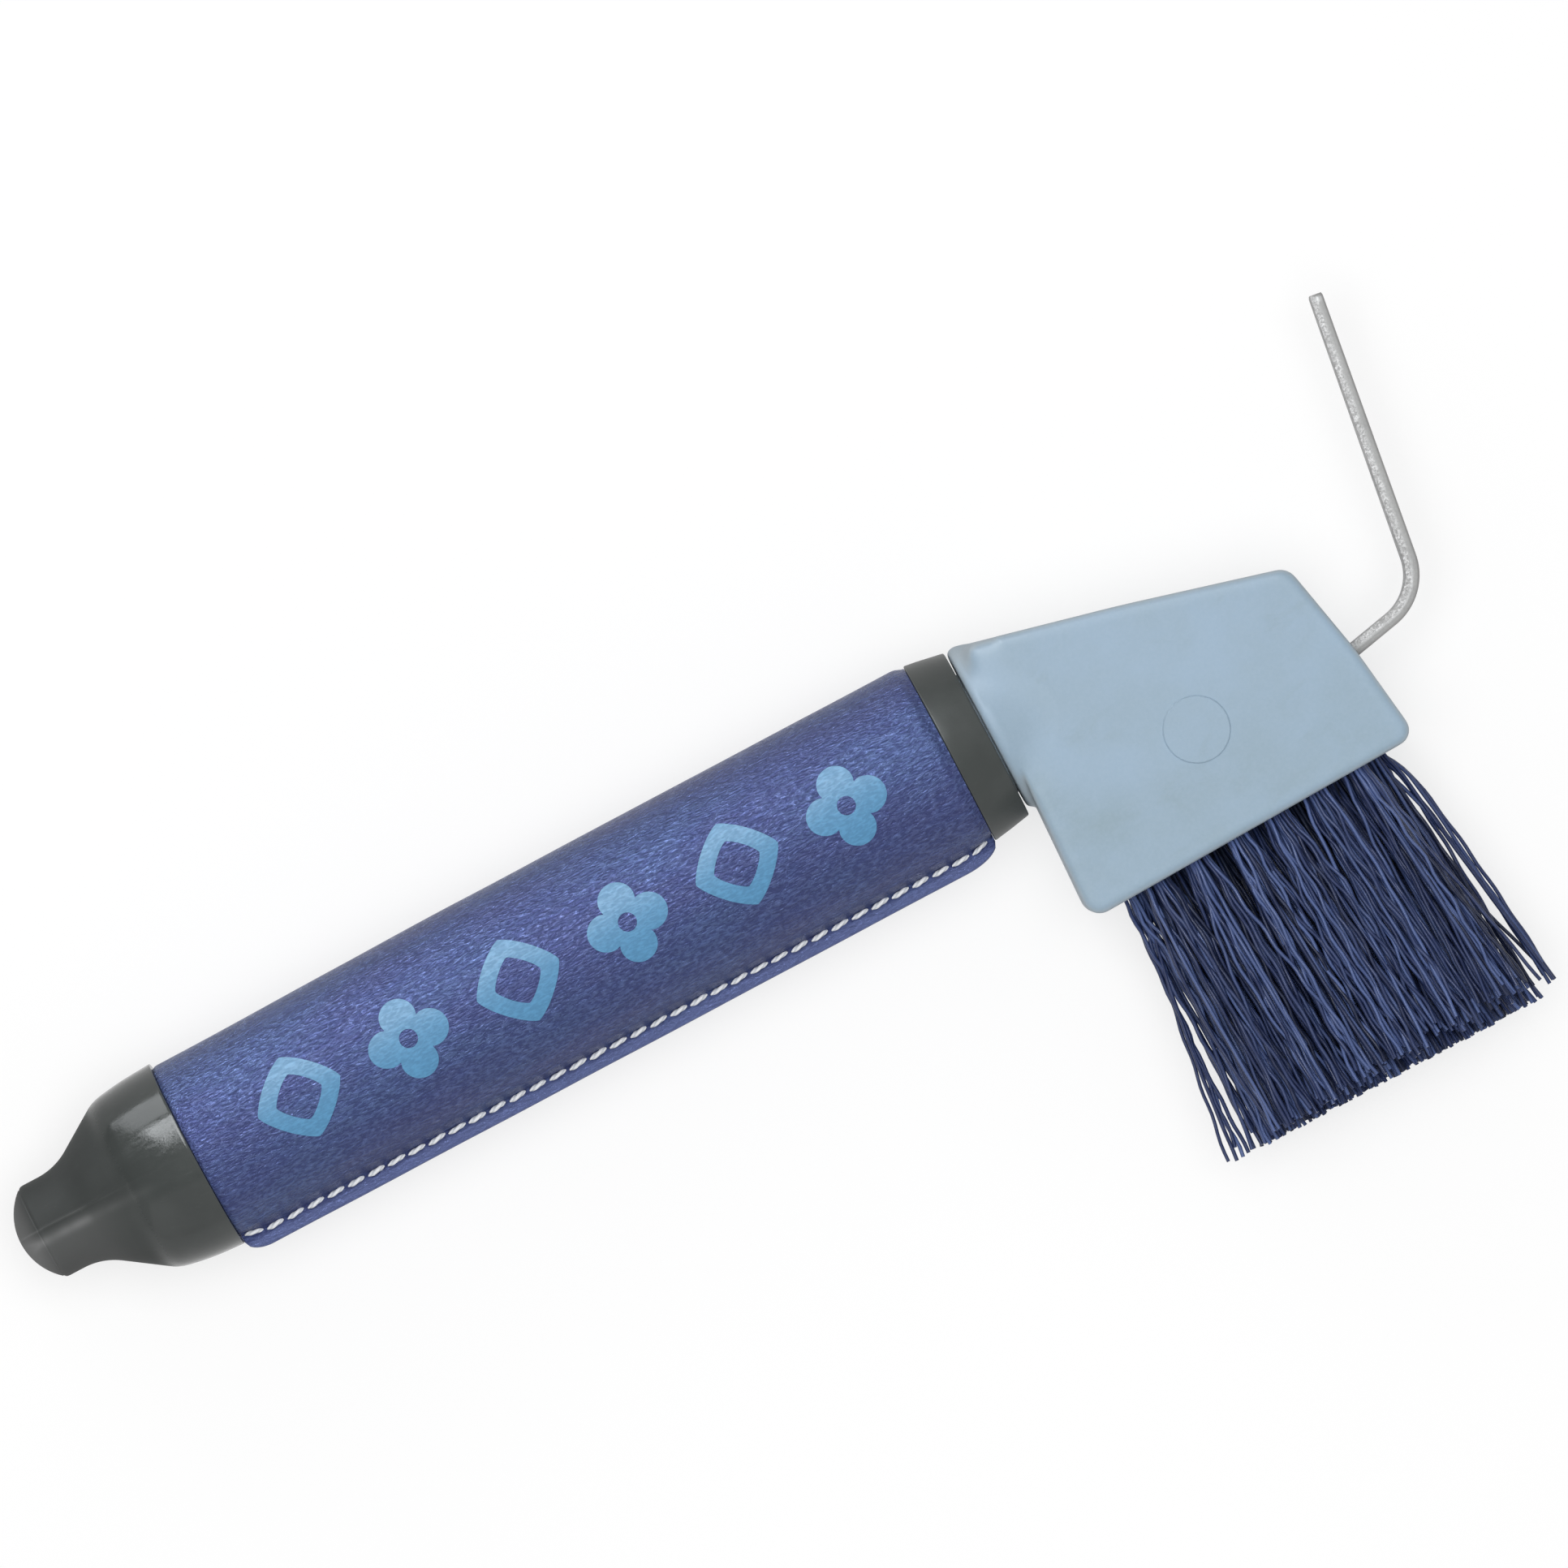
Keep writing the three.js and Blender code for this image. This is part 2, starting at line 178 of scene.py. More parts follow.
# ---- meshes
@contextmanager
def editing(mesh):
    """Opens a mesh for editing and writes it back at the end."""
    work = bmesh.new()
    work.from_mesh(mesh)
    yield work
    work.to_mesh(mesh)
    work.free()


def plain_mesh(name, points, faces):
    """A mesh from points on the grip's axis frame."""
    mesh = bpy.data.meshes.new(name)
    mesh.from_pydata([place(*p) for p in points], [], faces)
    return mesh


def face_out(mesh, merge=False):
    """Turns a mesh's normals out, after joining the points that coincide if merge is set."""
    with editing(mesh) as work:
        if merge:
            bmesh.ops.remove_doubles(work, verts=work.verts, dist=1e-7)
        bmesh.ops.recalc_face_normals(work, faces=work.faces)


def mesh_from(name, points, faces):
    """A plain mesh with coinciding points joined and its normals facing out."""
    mesh = plain_mesh(name, points, faces)
    face_out(mesh, merge=True)
    return mesh


def soften(mesh, degrees):
    """Smooth shading, with edges sharper than the angle kept crisp."""
    limit = math.radians(degrees)
    with editing(mesh) as work:
        for face in work.faces:
            face.smooth = True
        for edge in work.edges:
            edge.smooth = edge.is_manifold and edge.calc_face_angle() < limit


def add_object(name, data):
    """A new object in the scene that holds a mesh, a lamp's light or a lens."""
    made = bpy.data.objects.new(name, data)
    bpy.context.scene.collection.objects.link(made)
    return made


def finish_piece(name, mesh, material, crisp):
    """Puts a finished mesh into the scene as a piece of the object. It replaces the CAD
    node of the same name, if there is one."""
    soften(mesh, crisp)
    mesh.materials.clear()
    mesh.materials.append(material)
    piece = add_object("v_" + name, mesh)
    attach(piece, BODY)
    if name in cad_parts:
        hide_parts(name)


def store(mesh, name, numbers):
    """Stores a number on each vertex under a name, for a material to read."""
    layer = mesh.attributes.new(name, "FLOAT", "POINT")
    layer.data.foreach_set("value", [float(number) for number in numbers])


def paint(mesh, name, value):
    """Stores value(vertex) on each vertex under a name."""
    store(mesh, name, [value(v) for v in mesh.vertices])


def applied(piece):
    """The piece's mesh with its modifiers applied. The piece itself is removed."""
    bpy.context.view_layer.update()
    graph = bpy.context.evaluated_depsgraph_get()
    mesh = bpy.data.meshes.new_from_object(piece.evaluated_get(graph), depsgraph=graph)
    bpy.data.objects.remove(piece)
    return mesh


def bridge(count, rings, closed=False):
    """Faces between rings of count points each, one ring after the other."""
    faces = []
    for ring in range(rings if closed else rings - 1):
        here, there = ring * count, ((ring + 1) % rings) * count
        for i in range(count):
            j = (i + 1) % count
            faces.append((here + i, here + j, there + j, there + i))
    return faces


def capped(count, rings):
    """A closed tube: the bridged rings and a cap at each end."""
    last = (rings - 1) * count
    ends = [tuple(range(count))[::-1], tuple(range(last, last + count))]
    return bridge(count, rings) + ends


def turned(profile, segments, offset=lambda x: 0.0, ripple=lambda x, angle: 0.0):
    """A body of revolution about X. A profile of (x, radius) runs round a closed loop,
    or from the axis to the axis. Its centre lies off the axis by offset(x) along Y."""
    points = []
    for x, radius in profile:
        for angle in full_turn(segments):
            r = radius + (ripple(x, angle) if radius > 1 else 0.0)
            points.append((x, offset(x) + r * math.sin(angle), r * math.cos(angle)))
    open_ended = profile[0][1] < 1e-6
    return points, bridge(segments, len(profile), closed=not open_ended)


def rounded_profile(corners, steps):
    """A profile through corners (x, radius, fillet), with each corner rounded."""
    profile = []
    for i, (x, r, fillet) in enumerate(corners):
        corner = Vector((x, r))
        if fillet == 0:
            profile.append((x, r))
            continue
        before = (Vector(corners[i - 1][:2]) - corner).normalized() * fillet
        after = (Vector(corners[i + 1][:2]) - corner).normalized() * fillet
        for k in range(steps + 1):
            t = k / steps
            p = corner + before * (1 - t) ** 2 + after * t ** 2
            profile.append((p.x, p.y))
    return profile


def refined(profile, longest):
    """The profile with points added so that no step of it is longer than longest."""
    fine = [profile[0]]
    for point in profile[1:]:
        start, end = Vector(fine[-1]), Vector(point)
        steps = max(1, math.ceil((end - start).length / longest))
        fine += [tuple(start.lerp(end, k / steps)) for k in range(1, steps + 1)]
    return fine


# ---- materials
def linear(red, green, blue):
    """A colour given as 0 to 255 sRGB levels, as the shader's linear values."""
    levels = [channel / 255 for channel in (red, green, blue)]
    return (*[c / 12.92 if c <= 0.04045 else ((c + 0.055) / 1.055) ** 2.4 for c in levels], 1.0)


class Nodes:
    """A material's node tree with short calls for the nodes used here."""

    def __init__(self, name):
        self.material = bpy.data.materials.new(name)
        self.material.use_nodes = True
        self.tree = self.material.node_tree
        self.shader = self.tree.nodes["Principled BSDF"]
        self.place = self.node("ShaderNodeTexCoord").outputs["Object"]

    def node(self, kind, **settings):
        made = self.tree.nodes.new(kind)
        for key, value in settings.items():
            setattr(made, key, value)
        return made

    def link(self, source, target):
        self.tree.links.new(source, target)

    def feed(self, value, socket):
        if isinstance(value, bpy.types.NodeSocket):
            self.link(value, socket)
        else:
            socket.default_value = value

    def stretched(self, x, y, z):
        """Object coordinates in millimetres, scaled along each axis."""
        scale = self.node("ShaderNodeMapping")
        scale.inputs["Scale"].default_value = (x / MM, y / MM, z / MM)
        self.link(self.place, scale.inputs["Vector"])
        return scale.outputs["Vector"]

    def noise(self, x, y, z, detail=3.0, rough=0.5, warp=0.0):
        """Noise with x, y and z cells to the millimetre along those axes."""
        made = self.node("ShaderNodeTexNoise")
        self.link(self.stretched(x, y, z), made.inputs["Vector"])
        settings = {"Scale": 1.0, "Detail": detail, "Roughness": rough, "Distortion": warp}
        for key, value in settings.items():
            made.inputs[key].default_value = value
        return made.outputs["Fac"]

    def cells(self, x, y, z):
        """Pebbles with x, y and z of them to the millimetre along those axes."""
        made = self.node("ShaderNodeTexVoronoi", feature="SMOOTH_F1")
        self.link(self.stretched(x, y, z), made.inputs["Vector"])
        made.inputs["Scale"].default_value = 1.0
        return made.outputs["Distance"]

    def ramp(self, value, low, high, to_low=0.0, to_high=1.0):
        made = self.node("ShaderNodeMapRange")
        made.interpolation_type = "SMOOTHSTEP"
        self.feed(value, made.inputs["Value"])
        limits = {"From Min": low, "From Max": high, "To Min": to_low, "To Max": to_high}
        for key, number in limits.items():
            made.inputs[key].default_value = number
        return made.outputs["Result"]

    def calculate(self, operation, a, b):
        made = self.node("ShaderNodeMath", operation=operation)
        self.feed(a, made.inputs[0])
        self.feed(b, made.inputs[1])
        return made.outputs[0]

    def times(self, a, b):
        return self.calculate("MULTIPLY", a, b)

    def plus(self, a, b):
        return self.calculate("ADD", a, b)

    def mix(self, factor, a, b):
        """A blend of two colours, each a socket or three levels for linear()."""
        made = self.node("ShaderNodeMix", data_type="RGBA")
        self.feed(factor, made.inputs["Factor"])
        for value, name in ((a, "A"), (b, "B")):
            colour = linear(*value) if isinstance(value, tuple) else value
            self.feed(colour, next(s for s in made.inputs if s.name == name and s.type == "RGBA"))
        return next(s for s in made.outputs if s.type == "RGBA")

    def attribute(self, name):
        return self.node("ShaderNodeAttribute", attribute_name=name).outputs["Fac"]

    def bump(self, height, distance, strength=1.0, below=None):
        """A bump whose height is in units of distance, in millimetres."""
        made = self.node("ShaderNodeBump")
        self.feed(height, made.inputs["Height"])
        made.inputs["Distance"].default_value = distance * MM
        made.inputs["Strength"].default_value = strength
        if below is not None:
            self.link(below, made.inputs["Normal"])
        return made.outputs["Normal"]

    def surface(self, colour, roughness, normal=None, **fixed):
        """Feeds colour, roughness and normal, and sets the rest on the shader itself."""
        self.feed(colour, self.shader.inputs["Base Color"])
        self.feed(roughness, self.shader.inputs["Roughness"])
        if normal is not None:
            self.link(normal, self.shader.inputs["Normal"])
        for key, value in fixed.items():
            self.shader.inputs[key.replace("_", " ")].default_value = value
        return self.material


def leather_grain(n):
    """Fine crinkled grain, drawn out along the grip."""
    crinkle = n.noise(0.95, 2.5, 2.5, detail=4.0, rough=0.6, warp=0.9)
    pebble = n.cells(1.425, 3.75, 3.75)
    return n.plus(n.times(crinkle, 0.8), n.times(pebble, 0.4))


def leather_material():
    """Blue-violet leatherette: fine crinkled grain with painted shade in its hollows and painted glints
    on its crests, satin, a little uneven in tone.
    """
    n = Nodes("leatherette")
    grain = leather_grain(n)
    patches = n.noise(0.05, 0.12, 0.12)
    streaks = n.noise(0.3, 1.1, 1.1, detail=4.0, warp=0.5)
    colour = n.mix(n.ramp(patches, 0.35, 0.65), (81, 90, 134), (82, 98, 140))
    colour = n.mix(n.ramp(streaks, 0.35, 0.7, 0.0, 0.3), colour, (88, 107, 164))
    # Painted shade in the grain's hollows, then painted glints on its crests.
    colour = n.mix(n.ramp(grain, 0.48, 0.68, 0.58, 0.0), colour, (46, 50, 96))
    colour = n.mix(n.ramp(grain, 0.66, 0.82, 0.0, 0.4), colour, (112, 130, 186))
    # Painted light: the sewn flange below the seam, which the grip's bulge shades, is lightened.
    colour = n.mix(n.times(n.attribute("flange_painted_light"), 0.6), colour, (108, 120, 166))
    rough = n.ramp(grain, 0.45, 0.8, 0.35, 0.22)
    normal = n.bump(streaks, 0.12, 0.5)
    normal = n.bump(grain, 0.3, 1.0, normal)
    return n.surface(colour, rough, normal, Specular_IOR_Level=0.1, Metallic=0.28)


def print_material():
    """Light blue printed film that takes the leatherette's grain and is slightly worn."""
    n = Nodes("grip_print")
    grain = leather_grain(n)
    specks = n.noise(2.5, 2.5, 2.5)
    colour = n.mix(n.ramp(grain, 0.45, 0.75), (77, 133, 173), (88, 149, 191))
    colour = n.mix(n.ramp(specks, 0.64, 0.76, 0.0, 0.3), colour, (74, 112, 160))
    return n.surface(colour, n.ramp(grain, 0.4, 0.7, 0.58, 0.48), n.bump(grain, 0.07, 0.6))


def trim_material(name, polished=None):
    """Dark grey moulded plastic with faint scuffs, satin. Given two X levels on the grip's
    axis, it is dull and darker behind the first, with painted highlights read from the mesh,
    and glossy in front of the second."""
    n = Nodes(name)
    fine = n.noise(3, 3, 3)
    broad = n.noise(0.12, 0.12, 0.12)
    scuffs = n.noise(0.5, 2.2, 2.2, detail=6.0, rough=0.7)
    colour = n.mix(n.ramp(broad, 0.35, 0.65), (66, 70, 69), (72, 76, 75))
    rough = n.ramp(broad, 0.3, 0.7, 0.36, 0.44)
    gloss = 0.26
    if polished:
        split = n.node("ShaderNodeSeparateXYZ")
        n.link(n.place, split.inputs[0])
        start, end = [place(x, 0, 0).x for x in polished]
        part = n.ramp(split.outputs["X"], start, end)
        lighter = n.ramp(split.outputs["X"], start - 8 * MM, end + 6 * MM)
        dull = n.mix(n.ramp(broad, 0.35, 0.65), (50, 53, 52), (55, 58, 57))
        # The dull part is mixed towards a light grey by the painted highlight stored on the cap.
        colour = n.mix(lighter, n.mix(n.attribute("cap_painted_highlight"), dull, (128, 129, 129)), colour)
        shine = n.ramp(scuffs, 0.35, 0.75, 0.1, 0.26)
        matt = n.times(n.ramp(part, 0, 1, 1, 0), 0.72)
        rough = n.plus(matt, n.times(shine, part))
        gloss = 0.27
    colour = n.mix(n.ramp(scuffs, 0.6, 0.8, 0.0, 0.25), colour, (96, 99, 99))
    normal = n.bump(fine, 0.012, 0.6)
    normal = n.bump(broad, 0.2, 0.2, normal)
    return n.surface(colour, rough, normal, Specular_IOR_Level=gloss)


def head_material():
    """Light blue moulded plastic: soft mottling, a fine eggshell texture, grey handling marks, a
    painted shade under the neck and painted highlights on the rims.
    """
    n = Nodes("head_plastic")
    mottle = n.noise(0.09, 0.09, 0.09, detail=4.0, rough=0.6)
    marks = n.noise(0.1, 0.2, 0.15, detail=5.0, rough=0.65, warp=0.6)
    fine = n.noise(2.2, 2.2, 2.2)
    colour = n.mix(n.ramp(mottle, 0.3, 0.7), (150, 172, 189), (154, 177, 197))
    colour = n.mix(n.ramp(marks, 0.55, 0.75, 0.0, 0.3), colour, (138, 158, 168))
    # Grey marks, greyer low down, and a painted shade in the crease under the neck.
    marks_and_painted_shade = n.times(n.attribute("marks_and_painted_shade"), n.ramp(marks, 0.3, 0.65, 0.45, 1.0))
    colour = n.mix(marks_and_painted_shade, colour, (134, 154, 160))
    colour = n.mix(n.ramp(fine, 0.3, 0.75, 0.0, 0.1), colour, (180, 198, 214))
    # Painted highlight: the rims, where the sides turn away from the flat faces, are lightened.
    colour = n.mix(n.times(n.attribute("rim"), 0.6), colour, (196, 208, 215))
    rough = n.ramp(mottle, 0.3, 0.7, 0.46, 0.58)
    normal = n.bump(fine, 0.02, 0.5)
    normal = n.bump(mottle, 0.4, 0.15, normal)
    return n.surface(colour, rough, normal, Specular_IOR_Level=0.4)


def thread_material():
    """Off-white twisted thread with a painted shade in the hollows between its plies."""
    n = Nodes("seam_thread")
    fibres = n.noise(3.0, 9.0, 9.0, detail=4.0)
    ply = n.attribute("ply")
    # Painted shade: ply is low in the hollows between the plies, which are greyed.
    colour = n.mix(n.ramp(ply, 0.0, 0.6), (206, 211, 216), (248, 250, 252))
    colour = n.mix(n.ramp(fibres, 0.35, 0.7, 0.2, 0.0), colour, (165, 168, 175))
    return n.surface(colour, 0.75, n.bump(fibres, 0.04, 0.8), Sheen_Weight=0.2)


def steel_material():
    """Plated strip: fine lines along its faces, and a grainy break on its sheared edges."""
    n = Nodes("pick_steel")
    lines = n.noise(0.35, 0.35, 7.0, detail=4.0)
    grain = n.noise(3.6, 3.6, 3.6, detail=5.0, rough=0.75)
    fleck = n.noise(1.6, 1.6, 1.6)
    stain = n.noise(0.2, 0.2, 0.2, detail=4.0)
    edge = n.attribute("sheared")
    colour = n.mix(n.ramp(stain, 0.4, 0.7), (151, 151, 150), (143, 143, 142))
    speckle = n.mix(n.ramp(grain, 0.36, 0.6), (136, 136, 136), (220, 220, 220))
    broken = n.times(edge, n.ramp(fleck, 0.35, 0.6, 0.25, 0.85))
    colour = n.mix(broken, colour, speckle)
    rough = n.plus(n.ramp(stain, 0.3, 0.7, 0.42, 0.5), n.times(edge, 0.1))
    chips = n.times(n.times(grain, edge), 1.4)
    height = n.plus(n.times(lines, 0.3), chips)
    return n.surface(colour, rough, n.bump(height, 0.04, 0.6), Metallic=0.3)


def bristle_material():
    """Blue plastic filament: each strand has its own tone, darkened by a painted shade near the roots
    between the tufts, and a little gloss.
    """
    n = Nodes("bristle")
    tone = n.attribute("tone")
    fine = n.noise(2.0, 0.5, 2.0)
    # The darkest end of this ramp is reached mostly through the painted shade carried in tone.
    colour = n.mix(n.ramp(tone, 0.0, 0.35), (10, 13, 23), (33, 45, 83))
    colour = n.mix(n.ramp(tone, 0.35, 1.0), colour, (77, 95, 143))
    colour = n.mix(n.ramp(fine, 0.4, 0.7, 0.0, 0.1), colour, (92, 108, 150))
    rough = n.ramp(fine, 0.3, 0.7, 0.36, 0.5)
    return n.surface(colour, rough, n.bump(fine, 0.03, 0.5), Specular_IOR_Level=0.5)


def wire_material():
    """Drawn brass wire with fine draw lines."""
    n = Nodes("anchor_wire")
    lines = n.noise(9, 9, 0.4)
    colour = n.mix(n.ramp(lines, 0.35, 0.65), (178, 150, 88), (206, 182, 120))
    rough = n.ramp(lines, 0.3, 0.7, 0.28, 0.42)
    return n.surface(colour, rough, n.bump(lines, 0.02, 0.5), Metallic=1.0)


def core_material():
    """Plain off-white moulded tube with flow lines."""
    n = Nodes("core_plastic")
    flow = n.noise(0.05, 0.6, 0.6)
    colour = n.mix(n.ramp(flow, 0.3, 0.7), (206, 202, 192), (222, 219, 210))
    return n.surface(colour, n.ramp(flow, 0.3, 0.7, 0.5, 0.62), n.bump(flow, 0.1, 0.3))


# ---- butt cap
def butt_cap(material):
    """A domed nose, a waist, a flare and a lip, with a spigot into the grip."""
    waist = 0.5 * CAP_RADIUS
    nose_edge = LIP - 23.6
    rise = nose_edge - CAP_TIP
    ball = (waist ** 2 + rise ** 2) / (2 * rise)
    profile = [(CAP_TIP, 0.0)]
    nose_steps = 14
    for i in range(1, nose_steps):
        x = CAP_TIP + rise * (i / nose_steps) ** 2
        profile.append((x, math.sqrt(ball ** 2 - (CAP_TIP + ball - x) ** 2)))
    corner = [(-0.3, -0.36), (-0.12, -0.15), (0.1, -0.04), (0.45, 0.0), (1.0, 0.0)]
    profile += [(nose_edge + dx, waist + dr) for dx, dr in corner]
    waist_front = LIP - 20.9
    flare_radius = 9.0
    flare_angle = math.radians(33.5)
    flare_steps = 12
    for i in range(flare_steps + 1):
        angle = flare_angle * i / flare_steps
        x = waist_front + flare_radius * math.sin(angle)
        profile.append((x, waist + flare_radius * (1 - math.cos(angle))))
    shoulder = [(*profile[-1], 0.0), (LIP - 9.4, CAP_RADIUS - 1.08, 1.2)]
    shoulder += [(LIP - 5.2, CAP_RADIUS - 0.3, 2.4), (LIP - 0.2, CAP_RADIUS, 0.0)]
    profile += rounded_profile(shoulder, 8)[1:]
    profile = refined(profile, 0.3)
    spigot = CORE_BORE - BORE_FIT
    profile += [(LIP - 0.05, CAP_RADIUS - 0.04), (LIP, CAP_RADIUS - 0.2)]
    profile += [(LIP, spigot), (LIP + 19.2, spigot), (LIP + 20, spigot - 0.8)]
    profile += [(LIP + 20, 6.0), (LIP - 12, 6.0), (LIP - 14, 0.0)]

    def parting_line(x, angle):
        """A moulding ridge with a shelf below it, along both sides of the cap."""
        off = 8 * math.sin(angle) - 0.5
        fade = 1 - smooth(x, LIP - 17, LIP - 9)
        shelf = math.exp(off / 1.3) if off < 0 else math.exp(-((off / 0.2) ** 2))
        return fade * (0.05 * math.exp(-((off / 0.18) ** 2)) + 0.12 * shelf)

    def skew(x):
        """The cap isn't quite in line with the grip."""
        return 0.4 * (1 - smooth(x, LIP - 22, LIP))

    def cap_painted_highlight(vertex):
        """Painted highlight on the cap: at its tip, on its parting line and on the side below that."""
        x = along(vertex.co.x)
        off = across(vertex.co.y) - skew(x) - 0.45
        tail = 1 - 0.5 * smooth(x, LIP - 17, LIP - 12)
        streak = 0.3 + 0.7 * smooth(noise.noise(Vector((x * 0.3, 4.0, 1.0))), -0.25, 0.2)
        band = 0.45 * streak * math.exp(-(((off + 1.7) / 0.6) ** 2))
        line = 0.25 * streak * math.exp(-((off / 0.14) ** 2))
        tip = 0.75 * (1 - smooth(x, CAP_TIP, CAP_TIP + 4.2))
        return min(tip + tail * (0.3 * smooth(-off, -0.2, 2.2) + band + line), 1.0)

    points, faces = turned(profile, 288, offset=skew, ripple=parting_line)
    mesh = mesh_from("butt_cap", points, faces)
    # Painted highlight, stored per vertex: lighter at the cap's tip, on its parting line and on the
    # side below it.
    paint(mesh, "cap_painted_highlight", cap_painted_highlight)
    finish_piece("butt_cap", mesh, material, crisp=28)


# ---- collar
def collar(material):
    """The ring between sleeve and head, with rounded rims and a few handling dents."""
    front = COLLAR_RADIUS - 1.0
    corners = [
        (0.0, CORE_BORE, 0.0),
        (0.0, COLLAR_RADIUS, 0.28),
        (0.42 * COLLAR_LENGTH, (COLLAR_RADIUS + front) / 2 + 0.14, 1.4),
        (COLLAR_LENGTH, front, 0.28),
        (COLLAR_LENGTH, CORE_BORE, 0.0),
    ]
    profile = rounded_profile(corners, steps=6)
    profile += [(COLLAR_LENGTH * 0.5, CORE_BORE)]

    def dents(x, angle):
        """A faint unevenness all round, and one nick in the rim near the sleeve."""
        y, z = COLLAR_RADIUS * math.sin(angle), COLLAR_RADIUS * math.cos(angle)
        nick = math.exp(-(((x - 0.5) / 0.35) ** 2) - (((y + 4.2) / 0.5) ** 2)) if z > 0 else 0.0
        return 0.03 * noise.noise(Vector((x * 0.4, y * 0.3, z * 0.3))) - 0.22 * nick

    points, faces = turned(profile, 144, ripple=dents)
    mesh = mesh_from("collar", points, faces)
    finish_piece("collar", mesh, material, crisp=30)


# ---- sleeve
def flange_low(x):
    """The flange's lower edge, which curves up at both ends of the sleeve."""
    low = FLANGE_LOW + 0.12 * noise.noise(Vector((x * 0.05, 0.0, 3.0)))
    for end, reach, lift in ((SLEEVE_REAR, 3.6, 1.9), (SLEEVE_FRONT, 5.4, 2.2)):
        inside = min(abs(x - end) / reach, 1.0)
        low += lift * (1 - math.sqrt(1 - (1 - inside) ** 2))
    return low


def grip_radius(x, angle):
    """The sleeve's outside radius at an angle from straight down."""
    radius = GRIP_RADIUS + 0.2 - REAR_THINNER * (1 - smooth(x, SLEEVE_REAR, SLEEVE_REAR + 50))
    radius -= 0.22 * (1 - smooth(x - SLEEVE_REAR, 0.0, 0.7)) ** 2
    radius -= 0.5 * (1 - smooth(SLEEVE_FRONT - x, 0.0, 2.2)) ** 2
    ripple = noise.noise(Vector((x * 0.07, 2.2 * math.sin(angle), 2.2 * math.cos(angle))))
    return radius + 0.06 * ripple


def stitch_places():
    """The middle of each stitch along the seam."""
    first = SLEEVE_REAR + 1.0
    count = int((SLEEVE_FRONT - 0.8 - first - STITCH_LENGTH / 2) / STITCH_PITCH) + 1
    return [first + STITCH_LENGTH * 0.3 + i * STITCH_PITCH for i in range(count)]


def seam_level(x):
    """The seam line, which rises at both ends of the sleeve."""
    rise = 0.75 * (1 - smooth(x, SLEEVE_REAR, SLEEVE_REAR + 4))
    rise += 0.55 * (1 - smooth(-x, -SLEEVE_FRONT, 5.0))
    wander = 0.05 * noise.noise(Vector((x * 0.11, 9.0, 0.0)))
    return STITCH_LEVEL + 0.12 * (1 - smooth(x, SLEEVE_REAR, -70)) + rise + wander


def pinch(x):
    """How hard the thread pulls the sheet in at x: 1 under a stitch, 0 between two."""
    phase = (x - stitch_places()[0]) / STITCH_PITCH
    return 0.5 + 0.5 * math.cos(math.tau * phase)


def sleeve_section(x):
    """Half of the sleeve's outside at x, from the slit round to the top: (y, z) points."""
    low = flange_low(x)
    seam = max(seam_level(x), low + 0.9)
    swell = 0.1 * (1 - pinch(x))
    half = FLANGE_HALF
    side_low, side_high = low + 0.35, seam - 0.5
    points = [(low, SLIT_HALF), (low - 0.02, 0.5 * half), (low + 0.03, 0.82 * half)]
    points += [(low + 0.14, 0.96 * half), (side_low, half)]
    for t in (0.25, 0.5, 0.75):
        points.append((side_low + t * (side_high - side_low), half + 0.1 * math.sin(math.pi * t)))
    points += [(seam - 0.42, half + 0.02), (seam - 0.12, half + 0.06 + swell)]
    points += [(seam + 0.2, half + 0.25 + swell)]
    leave = math.radians(24)
    radius = grip_radius(x, leave)
    top = Vector((-radius * math.cos(leave), radius * math.sin(leave)))
    start = Vector((max(seam + 0.38, CREASE - 0.4), half + 0.75))
    bulge = Vector((-radius * math.cos(leave) - 0.55, radius * math.sin(leave) * 0.62))
    for t in (0.0, 0.25, 0.5, 0.75):
        p = start * (1 - t) ** 2 + bulge * 2 * t * (1 - t) + top * t * t
        points.append((p.x, p.y))
    steps = 44
    for i in range(steps + 1):
        angle = leave + (math.pi - leave) * i / steps
        r = grip_radius(x, angle)
        points.append((-r * math.cos(angle), r * math.sin(angle)))
    return points


def sheet_end(loop, outer):
    """Triangles across a wrapped sheet's end. The loop's first points, outer of them, run
    round the outside and the rest run back round the inside."""
    angles = [math.atan2(z, -y) % math.tau for y, z in loop]
    near, far = 0, len(loop) - 1
    triangles = []
    while near < outer - 1 or far > outer:
        if far == outer or (near < outer - 1 and angles[near + 1] <= angles[far - 1]):
            triangles.append((near, near + 1, far))
            near += 1
        else:
            triangles.append((near, far - 1, far))
            far -= 1
    return triangles


def sleeve(material):
    """One sheet wrapped round the grip, its edges face to face in the sewn flange."""
    rings = 300
    inner_radius = GRIP_RADIUS - LEATHER
    inner_steps = 24
    edge = math.asin(SLIT_HALF / inner_radius)
    inside = []
    for i in range(inner_steps + 1):
        angle = edge + (math.tau - 2 * edge) * (1 - i / inner_steps)
        inside.append((-inner_radius * math.cos(angle), inner_radius * math.sin(angle)))
    points, ends = [], []
    for ring in range(rings + 1):
        x = SLEEVE_REAR + (SLEEVE_FRONT - SLEEVE_REAR) * ring / rings
        half = sleeve_section(x)
        far = [(y, -z if abs(z) > 1e-9 else 0.0) for y, z in half[-2::-1]]
        loop = half + far + inside
        if ring in (0, rings):
            ends.append(sheet_end(loop, len(half) + len(far)))
        points += [(x, y, z) for y, z in loop]
    count = len(points) // (rings + 1)
    faces = bridge(count, rings + 1) + [face[::-1] for face in ends[0]]
    faces += [tuple(rings * count + i for i in face) for face in ends[1]]
    mesh = mesh_from("leather_sleeve", points, faces)
    # Painted light: marks the flange below the seam, for the material to lighten.
    paint(mesh, "flange_painted_light", lambda v: smooth(-across(v.co.y), 13.9, 14.5))
    finish_piece("leather_sleeve", mesh, material, crisp=50)


